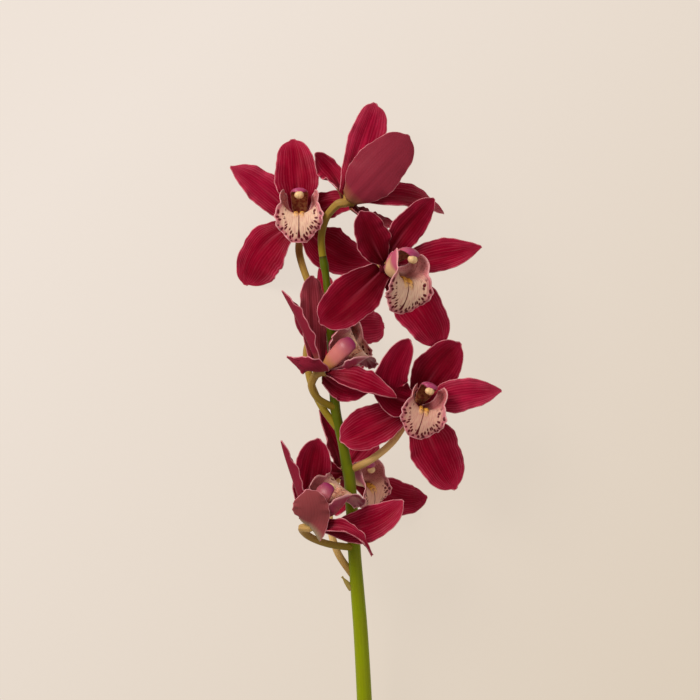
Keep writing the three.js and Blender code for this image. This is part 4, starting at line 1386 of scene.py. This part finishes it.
BLOOMS = (
    Bloom(
        1, centre=(-28, 71.5, 22), facing=(90, 70), crown=(0, 1, 0), size=0.95, tanned=0.5,
        stalk=((-12, 15.5, 39), (-18.5, 28, 28), (-24.5, 41, 16), (-28.5, 54.5, 9), (-28, 64, 12)),
        tepals=(
            Tepal(
                (-1, 22.8, 6.5), (-3.9, 45.1, -0.7), 24.5, depth=1.1, cup=(0.6, 0.35), claw=0.23, full=4,
                round=0.42, lean=0.05,
            ),
            Tepal(
                (-20.5, 18.5, -0.3), (-37.5, 30, 2.3), 20.9, depth=-0.6, cup=(0.4, 0.4), claw=0.27,
                widest=0.45, round=0.7, look=BRIGHT_CRIMSON,
            ),
            Tepal((17, 9, 2.5), (29.5, 7.5, 5.5), 18, depth=-0.6, cup=(0.4, 0.4), claw=0.24, round=0.7),
            Tepal(
                (-21, -13.5, -9), (-31.3, -33.9, -24.6), 28.6, depth=-2.6, cup=(0.3, 0.2), claw=0.27, full=4,
                round=0.42, lean=0.25,
            ),
            Tepal((19, -16.5, -2.8), (39.6, -21.8, -11.8), 27, depth=-2.4, cup=(0.3, 0.2), round=0.55),
        ),
    ),
    Bloom(
        2, centre=(-0.5, 82, 50), facing=(34.6, -27.5), crown=(0.21, 0.26, 1.19), size=0.5, tanned=0.4,
        stalk=((-14, 46.5, 41), (-15.6, 56, 41), (-15.5, 64.5, 42.5), (-12.5, 73.5, 46), (-7, 79.5, 50.5)),
        tepals=(
            Tepal(
                (13.8, 14.1, 16.3), (31.6, 33.8, 9.5), 27, face=(0.1, 0.1, -1), depth=-1.7,
                claw=0.36, widest=0.42, full=5, round=0.4, relief=0.5, look=DULL_BACKED,
            ),
            Tepal(
                (5.7, 30.6, -15.3), (13.9, 53.6, -18), 21, face=(0.2, -0.2, 1), depth=-0.1, cup=(0.3, 0.2),
                claw=0.18, widest=0.6, round=0.3, lean=-0.24, look=BRIGHT_CRIMSON,
            ),
            Tepal(
                (29.8, 2, 2.1), (52.5, -5.2, -30), 17, face=(0, 0.4, 1), depth=0.6, cup=(0.4, 0.3), claw=0.18,
                widest=0.5, full=2.4, lean=0.14,
            ),
            Tepal(
                (-7.1, 14.1, -19), (-17.9, 25.9, -16.5), 16.1, face=(0.5, 0, 1), depth=-0.8, cup=(0.6, 0.8),
                claw=0.5, widest=0.52, full=5, round=0.35, rolled=(0.5, 1.6), lean=0.35,
            ),
            Tepal(
                (12.2, -10.6, -4.5), (23.7, -11.9, -8), 18, face=(0.2, 0.9, 0.45), depth=-1.1,
                claw=0.29, full=4, round=0.35, lean=0.1, look=DEEP_CRIMSON,
            ),
        ),
    ),
    Bloom(
        3, centre=(19.5, 45.5, 58), facing=(-19, 56), crown=(0.24, 0.97, 0), size=1.02, tanned=0.5,
        lobes=(0.85, 0.88),
        stalk=((-11, 15.5, 44), (-2, 28, 45), (9, 40.5, 45), (14.5, 46, 49.5)),
        tepals=(
            Tepal(
                (10.5, 19, 4), (25.5, 36, 1.7), 18, face=(0.2, -0.2, 1), depth=-1.5,
                widest=0.6, full=4, round=0.5, look=DEEP_CRIMSON,
            ),
            Tepal(
                (-7, 13, 10.5), (-13.5, 28, 17), 21, cup=(0.4, 0.4), claw=0.28, full=4, round=0.38,
                look=DEEP_CRIMSON,
            ),
            Tepal(
                (27.5, 4.2, -1.9), (51.3, 10.6, -6.2), 20, face=(0, 0.1, 1), depth=1.2, cup=(0.4, 0.4),
                claw=0.2, widest=0.6, round=0.7, lean=0.17,
            ),
            Tepal(
                (-17.5, -16.5, 6.2), (-35, -30.5, 4.8), 26, face=(-0.1, -0.1, 1), depth=-0.2, cup=(0.4, 0.2),
                claw=0.45, full=4, round=0.4, look=DEEP_CRIMSON,
            ),
            Tepal(
                (18.5, -24, -2), (29.5, -43, -8.4), 26.5, face=(0, 0, 1), depth=-1.8, cup=(0.3, 0.3),
                claw=0.27, round=0.5, lean=0.02,
            ),
        ),
    ),
    Bloom(
        4, centre=(-15, -11, 57), facing=(36, -6), crown=(-0.2, 0.25, 1), size=0.95, tanned=0.45,
        lip_look=PALE_CALLUS, column_look=OLDER_COLUMN,
        stalk=((-9, -32, 45), (-17.5, -26.5, 50), (-21, -19.5, 54), (-19, -14, 56)),
        tepals=(
            Tepal(
                (-7.6, 2.1, 13.5), (-18, 6.9, 9.3), 15, face=(0.3, 0.3, -0.6), claw=0.41, widest=0.22,
                full=2.5, round=1, look=DEEP_CRIMSON,
            ),
            Tepal(
                (-10.9, 24.3, 2.2), (-21.2, 42.2, 1.2), 16, depth=0.7, cup=(1, 1.2), lean=-0.08,
                look=DEEP_CRIMSON,
            ),
            Tepal(
                (19.2, -7.8, 8.9), (39.1, -14.3, 4.2), 16.8, face=(0.1, 0.6, 0.8), cup=(0.8, 1.2), claw=0.23,
                lean=0.3,
            ),
            Tepal(
                (-5, 26, -11.5), (-6, 50.5, -13.4), 16.5, face=(0.5, 0.1, 0.8), depth=-1.4, cup=(0.4, 0.2),
                claw=0.22, full=5, round=0.3, rolled=(1.6, 0.5), look=PALE_CRIMSON,
            ),
            Tepal(
                (11.5, -10.5, -7.5), (23.2, -12.3, -6.1), 16.5, face=(0.1, 0.4, 0.9), depth=-0.8, claw=0.28,
                full=2.6,
            ),
        ),
    ),
    Bloom(
        5, centre=(37, -30, 50), facing=(20, 78), crown=(0.33, 0.95, 0), size=0.9, tanned=1.2,
        lobes=(0.78, 1), lip_look=ROSY_LIP,
        stalk=((0.5, -66, 43), (12, -60, 42), (23, -51, 40), (30, -41, 40), (35, -33.5, 44)),
        tepals=(
            Tepal(
                (9, 17.5, 1), (22.5, 33, 0.9), 24.5, depth=-1.8, cup=(0.4, 0.3), full=4, round=0.45,
                look=DEEP_CRIMSON,
            ),
            Tepal(
                (-15.5, 10.5, 7.5), (-5.5, 34.8, 14), 21, cup=(0.4, 0.5), claw=0.5, widest=0.2, full=2.6,
                round=0.34, lean=-0.04, look=EVEN_CRIMSON,
            ),
            Tepal(
                (23.5, 5, 6), (45, 7.5, -0.8), 19.4, cup=(0.4, 0.4), claw=0.3, round=0.7, lean=0.06,
                look=BRIGHT_CRIMSON,
            ),
            Tepal(
                (-24, -11, -0.6), (-41.3, -19.2, -1), 23.5, depth=-1.3, cup=(0.3, 0.2), claw=0.22, widest=0.6,
                full=4, round=0.4,
            ),
            Tepal((9.3, -24.2, -4), (20.5, -45.5, -6), 27.8, cup=(0.3, 0.2), full=4, round=0.45),
        ),
    ),
    Bloom(
        6, centre=(-20, -93.5, 69), facing=(54, -4), crown=(-0.45, 0.2, 0.85), size=0.95, tanned=0.5,
        lip_look=PALE_CALLUS, column_look=OLDER_COLUMN,
        stalk=((0.5, -109, 42), (-12, -106, 51), (-22, -101.5, 59), (-26, -96.5, 65)),
        tepals=(
            Tepal(
                (-1.2, 8.1, 11.6), (-2.8, 17.7, 14.1), 20, face=(0.1, 0.3, -1), depth=-1.5, cup=(0.5, 0.4),
                claw=0.45, widest=0.4, full=4, round=0.42, drawn=(0.5, -9, 2), relief=0.2, look=FADED_ROSE,
            ),
            Tepal(
                (-8.6, 19.9, 3.7), (-16.5, 43.5, 6.9), 14, depth=0.2, cup=(1, 1.4), claw=0.32,
                look=DEEP_CRIMSON,
            ),
            Tepal(
                (27.3, -2.1, -5.9), (47.8, 11.1, -5), 21, face=(0, 0.3, 1), depth=0.1,
                claw=0.18, widest=0.6, round=0.5,
            ),
            Tepal(
                (-1.2, 23.8, -12.4), (2.6, 44, -15.9), 21, face=(0.3, 0.1, 1), depth=-0.5, cup=(0.3, 0.3),
                claw=0.26, full=4, round=0.4, look=DEEP_CRIMSON,
            ),
            Tepal(
                (20.5, -3.2, 8.2), (31.6, -16.8, -1.6), 9.5, face=(0, 0.5, 0.8), depth=-1, cup=(1, 1.4),
                claw=0.19, widest=0.3, full=2.2, round=1.1,
            ),
        ),
    ),
    Bloom(
        7, centre=(-3, -68.5, 19), facing=(-15, 38), crown=(-0.26, 0.97, 0), size=0.85, tanned=1.1,
        lip_look=HEAVILY_SPOTTED,
        stalk=((-1, -125.5, 38), (-7.5, -110.5, 34), (-11.5, -93.5, 25), (-9.5, -78, 18)),
        tepals=(
            Tepal(
                (-6.1, 15.6, 2.9), (-13.3, 34, 5.2), 14, depth=-2, cup=(0.6, 1), claw=0.28, look=DEEP_CRIMSON,
            ),
            Tepal((-10.7, 1, 8.2), (-20, 5, 8.4), 14, depth=1.1, claw=0.22, look=DEEP_CRIMSON),
            Tepal(
                (11.4, 12.6, 0.1), (18.4, 18.1, 0.9), 17, face=(0, 0, 1), depth=1.3, claw=0.32,
                look=BRIGHT_CRIMSON,
            ),
            Tepal((1.4, -12.6, -18.3), (-4.5, -24, -18.4), 10, face=(0, 0, 1), depth=-2.6, claw=0.18),
            Tepal((27.1, -13.9, -8.1), (45.9, -14.6, -21.3), 21, face=(0, 0, 1), depth=0.1, claw=0.2),
        ),
    ),
    Bloom(
        8, centre=(-3, 14, 16), facing=(-80, 60), crown=(-0.24, 0.97, 0), size=0.85, tanned=0.5,
        stalk=(
            (-9, -44, 42), (-16.5, -29.5, 40), (-22.5, -15, 28), (-24, 1, 14), (-17, 12.5, 7.5),
            (-6.5, 15.5, 8.5),
        ),
        tepals=(
            Tepal((-8.5, 16, 1), (-13.7, 31.7, -9.4), 12, claw=0.33),
            Tepal(
                (-15.7, -2.5, 2.9), (-27, 5.5, 4.1), 16, face=(0.3, 0, -1), depth=0.7, claw=0.22,
                look=DEEP_CRIMSON,
            ),
            Tepal(
                (12, -1, -8), (21.6, -0.3, -17.9), 19, face=(0, 0, 1), depth=-1.4, full=5, round=0.35,
                look=BRIGHT_CRIMSON,
            ),
            Tepal((-11.3, -13.9, -7), (-15, -22, -13), 13, face=(0, 0, 1), claw=0.2),
            Tepal((6, -15, -12.7), (9, -25, -13.8), 13, face=(0, 0, 1), depth=-1.9, claw=0.18),
        ),
    ),
)


# ---- the stem ---------------------------------------------------------------------------------------------


@dataclass(frozen=True)
class StemMaker:
    """Builds the main stem, the flower stalks and the small bract at the foot of the lowest one."""

    # x, y, z and radius
    route: tuple[tuple[float, float, float, float], ...] = (
        (12.5, -310, 4.3, 4.6), (12, -296, 4.5, 4.6), (11, -262, 10, 4.5), (8, -195, 24, 4.2),
        (6, -158, 31, 4), (4, -132, 36, 3.8), (2.5, -112.5, 39, 3.6), (0, -73.5, 42, 3.2),
        (-2, -62.5, 42.5, 3), (-4, -51.5, 43, 2.7), (-7.5, -35.5, 43, 2.7), (-8.5, -27, 43, 2.7),
        (-10.5, 10, 42, 2.6), (-13, 38.5, 41, 2), (-15, 51.5, 41, 2.1),
    )
    steps: int = 300
    sides: int = 36
    stalk_steps: int = 90
    stalk_sides: int = 28
    foot_radius: float = 2.0
    end_radius: float = 2.8  # at the ovary, behind the flower
    neck: float = 3.0  # the last stretch of a stalk, which is square to its flower
    joint: float = 0.35  # the swelling of the stem at the foot of a stalk
    joint_length: float = 2.5
    top_ring: float = 1.2  # the dark end of the main stem
    top_dark: float = 0.9  # how dark it is
    grooves: int = 6  # along an ovary
    groove_depth: float = 0.26
    groove_growth: tuple[float, float] = (1.8, 0.3)  # how fast grooves deepen along a stalk, and how late
    tan_least: float = 0.05  # how tan the greenest stalk is
    tan_at_foot: float = 0.4  # how tan a stalk is at its foot, as a share of how tan it is
    foot_sunk: float = 0.7  # a stalk's foot is drawn this share of the way to the stem's middle
    flare: float = 1.7  # the rim on which the sepals sit, at the end of an ovary
    flare_length: float = 1.3
    bract_from: Point = (1, -132, 36.5)
    bract_to: Point = (-4.5, -125, 38)
    bract_width: float = 3.6
    bract_tip: float = 1.0
    bract_rise: float = 1.2
    bract_thickness: float = 0.6
    bract_length: float = 10.0
    bract_sheet: Sheet = Sheet(rows=16, columns=16, crowding=1.2)

    def axis(self) -> Grid:
        """The middle line of the main stem."""
        return catmull_rom(np.array(self.route, float)[:, :3], np.linspace(0, 1, self.steps + 1))[0]

    def tube(self, points: Grid, steps: int, sides: int, radius_at: Radius) -> Tube:
        """A closed round tube through points of x, y, z and radius, which stays above the table.

        Each ring is square to the curve, and its first side is carried along without twist.

        Args:
            points: the route.
            steps: rings less one.
            sides: points in a ring.
            radius_at: changes the radius, given the mm along, the turns round and the plain radius.

        Returns:
            The tube.
        """
        t = np.linspace(0, 1, steps + 1)
        middle, tangent = catmull_rom(points[:, :3], t)
        tangent = unit(tangent)
        carried = [np.array([0.0, 0.0, 1.0])]
        for way in tangent:
            carried.append(across(carried[-1], way))
        side = np.array(carried[1:])
        other = np.cross(tangent, side)
        turn = turns(sides)
        plain = np.interp(t * (len(points) - 1), np.arange(len(points)), points[:, 3])
        along = np.concatenate([[0.0], np.cumsum(np.linalg.norm(np.diff(middle, axis=0), axis=1))])
        radius = radius_at(along[:, None], turn[None, :], plain[:, None] + 0 * turn)
        ring = np.cos(turn)[None, :, None] * side[:, None] + np.sin(turn)[None, :, None] * other[:, None]
        skin = with_ends(middle[:, None] + radius[..., None] * ring)
        skin[:, 2] = np.maximum(skin[:, 2], 0)
        return Tube(skin, tube_faces(steps, sides), along, turn)

    def main_stem(self) -> Shell:
        """The main stem, a little swollen where each stalk leaves it.

        Returns:
            Its points, its faces and its marks.
        """
        feet = np.array([bloom.stalk[0] for bloom in BLOOMS])
        gap = np.linalg.norm(self.axis()[:, None] - feet[None], axis=-1).min(axis=1)
        swell = bell(gap / self.joint_length)

        def radius(along: Grid, turn: Grid, plain: Grid) -> Grid:
            """The plain radius, swollen at the joints."""
            return plain + self.joint * swell[:, None]

        tube = self.tube(np.array(self.route, float), self.steps, self.sides, radius)
        end = bell((tube.share - 1) * tube.along[-1] / self.top_ring)
        points, faces, marks = tube.marked(0 * tube.share, self.top_dark * end)
        marks[-2, 5] = -1.0
        return points, faces, marks

    def stalk(self, bloom: Bloom) -> Shell:
        """The stalk of a bloom, which swells into a grooved ovary and ends square to the flower.

        Args:
            bloom: the bloom at its end.

        Returns:
            Its points, its faces and its marks.
        """
        end, axis, foot = np.array(bloom.centre, float), self.axis(), np.array(bloom.stalk[0], float)
        nearest = axis[np.argmin(np.linalg.norm(axis - foot, axis=-1))]
        foot = foot + self.foot_sunk * (nearest - foot)
        route = np.array([foot, *bloom.stalk[1:], end - self.neck * bloom.forward, end])
        radii = blend(self.foot_radius, self.end_radius, np.linspace(0, 1, len(route)) ** 2)

        def radius(along: Grid, turn: Grid, plain: Grid) -> Grid:
            """Adds grooves that deepen towards the flower, and the rim at its end.

            Args:
                along: mm from the foot.
                turn: the angle round the stalk.
                plain: the radius without them.

            Returns:
                The radius.
            """
            fast, late = self.groove_growth
            deep = np.clip(along / along.max() * fast - late, 0, 1)
            rim = self.flare * bell((along.max() - along) / self.flare_length)
            return plain + rim - self.groove_depth * deep * (0.5 - 0.5 * np.cos(self.grooves * turn))

        tube = self.tube(np.column_stack([route, radii]), self.stalk_steps, self.stalk_sides, radius)
        tanned = np.clip(self.tan_least + bloom.tanned * (self.tan_at_foot + tube.share), 0, 1)
        points, faces, marks = tube.marked(tanned, 0 * tube.share)
        marks[-1 - 2 * self.stalk_sides :, 2] = -1.0
        return points, faces, marks

    def bract(self) -> Shell:
        """A small pointed scale that hugs the stem at the foot of a stalk.

        Returns:
            Its points, its faces and its marks.
        """
        base, end = np.array(self.bract_from, float), np.array(self.bract_to, float)
        tangent = unit(end - base)
        up = across(np.array([0.0, 0.0, 1.0]), tangent)
        sideways = np.cross(up, tangent)

        def inner(u: Grid, v: Grid) -> Grid:
            """Finds points of the scale, which is straight, narrows as 1 - u^2 and has a raised middle.

            Args:
                u: foot to tip.
                v: edge to edge.

            Returns:
                The points.
            """
            half = np.maximum(self.bract_width * (1 - u**2), self.bract_tip) / 2
            rise = self.bract_rise * (1 - v**2) * (1 - u)
            place = base + (end - base) * u[..., None]
            return place + sideways * (half * v)[..., None] + up * rise[..., None]

        u, _ = self.bract_sheet.grid()
        skin = self.bract_sheet.skin(inner, np.full(u.shape, self.bract_thickness), None)
        marks = np.zeros((*skin.shape[:2], 6))
        marks[..., 5] = 1.0
        marks[..., 4] = np.linspace(0, self.bract_length, skin.shape[0])[:, None]
        return skin.reshape(-1, 3), self.bract_sheet.faces(), marks.reshape(-1, 6)

    def build(self, looks: Looks) -> None:
        """Builds and dresses the stem as one piece.

        Args:
            looks: the materials.
        """
        points, faces, marks = joined([self.main_stem(), *map(self.stalk, BLOOMS), self.bract()])
        age, skin = marks[:, :3].copy(), marks[:, 3:].copy()
        piece = make_mesh("flower_stem", points, faces, {"age": age, "skin": skin})
        finish(piece, looks.material(FleshyStemSkin()), "stem", Slot.STEM)


# ---- the studio -------------------------------------------------------------------------------------------


@dataclass(frozen=True)
class Softbox:
    """A square soft light above the table."""

    name: str
    place: Point  # metres
    side: float  # metres
    watts: float
    colour: str
    aim: Point = (0, 0.09, 0.04)  # the middle of the flowers

    def build(self) -> None:
        """Adds the light, turned to its aim."""
        light = bpy.data.lights.new(self.name, "AREA")
        light.shape, light.size, light.energy = "SQUARE", self.side, self.watts
        light.color = linear(self.colour)[:3]
        lamp = bpy.data.objects.new(self.name, light)
        lamp.location = self.place
        lamp.rotation_euler = (Vector(self.aim) - Vector(self.place)).to_track_quat("-Z", "Y").to_euler()
        bpy.context.scene.collection.objects.link(lamp)


@dataclass(frozen=True)
class Studio:
    """A camera straight above the flowers, soft light from the upper left, a weak fill and a pale table."""

    camera_height: float = 1.542  # metres above the table
    camera_over: tuple[float, float] = (-0.00806, 0.08702)
    lens: float = 140.26  # mm
    sensor: float = 36.0  # mm
    near_clip: float = 0.01
    table: float = 8.0  # metres to a side
    surroundings: str = "#f1e8de"
    surroundings_strength: float = 0.42
    lights: tuple[Softbox, ...] = (
        Softbox("key_softbox", (-1.1, 1.0, 1.3), 0.9, 34.0, "#fff6ec"),
        Softbox("fill_softbox", (1.4, -0.6, 1.8), 2.0, 7.0, "#fff3e8"),
    )

    def build(self) -> None:
        """Adds the camera, the lights, the surroundings and the table."""
        scene = bpy.context.scene
        scene.view_settings.view_transform = "Standard"
        view = bpy.data.cameras.new("camera")
        view.lens, view.sensor_width, view.clip_start = self.lens, self.sensor, self.near_clip
        camera = bpy.data.objects.new("camera", view)
        camera.location = (*self.camera_over, self.camera_height)
        scene.collection.objects.link(camera)
        scene.camera = camera
        for light in self.lights:
            light.build()
        world = bpy.data.worlds.new("studio")
        world.use_nodes = True
        around = world.node_tree.nodes["Background"].inputs
        around["Color"].default_value = linear(self.surroundings)
        around["Strength"].default_value = self.surroundings_strength
        scene.world = world
        mesh = bpy.data.meshes.new("table")
        half = self.table / 2
        corners = [(-half, -half, 0), (half, -half, 0), (half, half, 0), (-half, half, 0)]
        mesh.from_pydata(corners, [], [(0, 1, 2, 3)])
        table = bpy.data.objects.new("table", mesh)
        mesh.materials.append(BacklitPaperTable().material())
        scene.collection.objects.link(table)


def main() -> None:
    """Builds the studio, the stem and the eight flowers."""
    logging.basicConfig(level=logging.INFO, format="%(name)s: %(message)s")
    Studio().build()
    looks = Looks()
    StemMaker().build(looks)
    for bloom in BLOOMS:
        bloom.build(TepalMaker(), LipMaker(), ColumnMaker(), looks)
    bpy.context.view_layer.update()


if __name__ == "__main__":
    main()
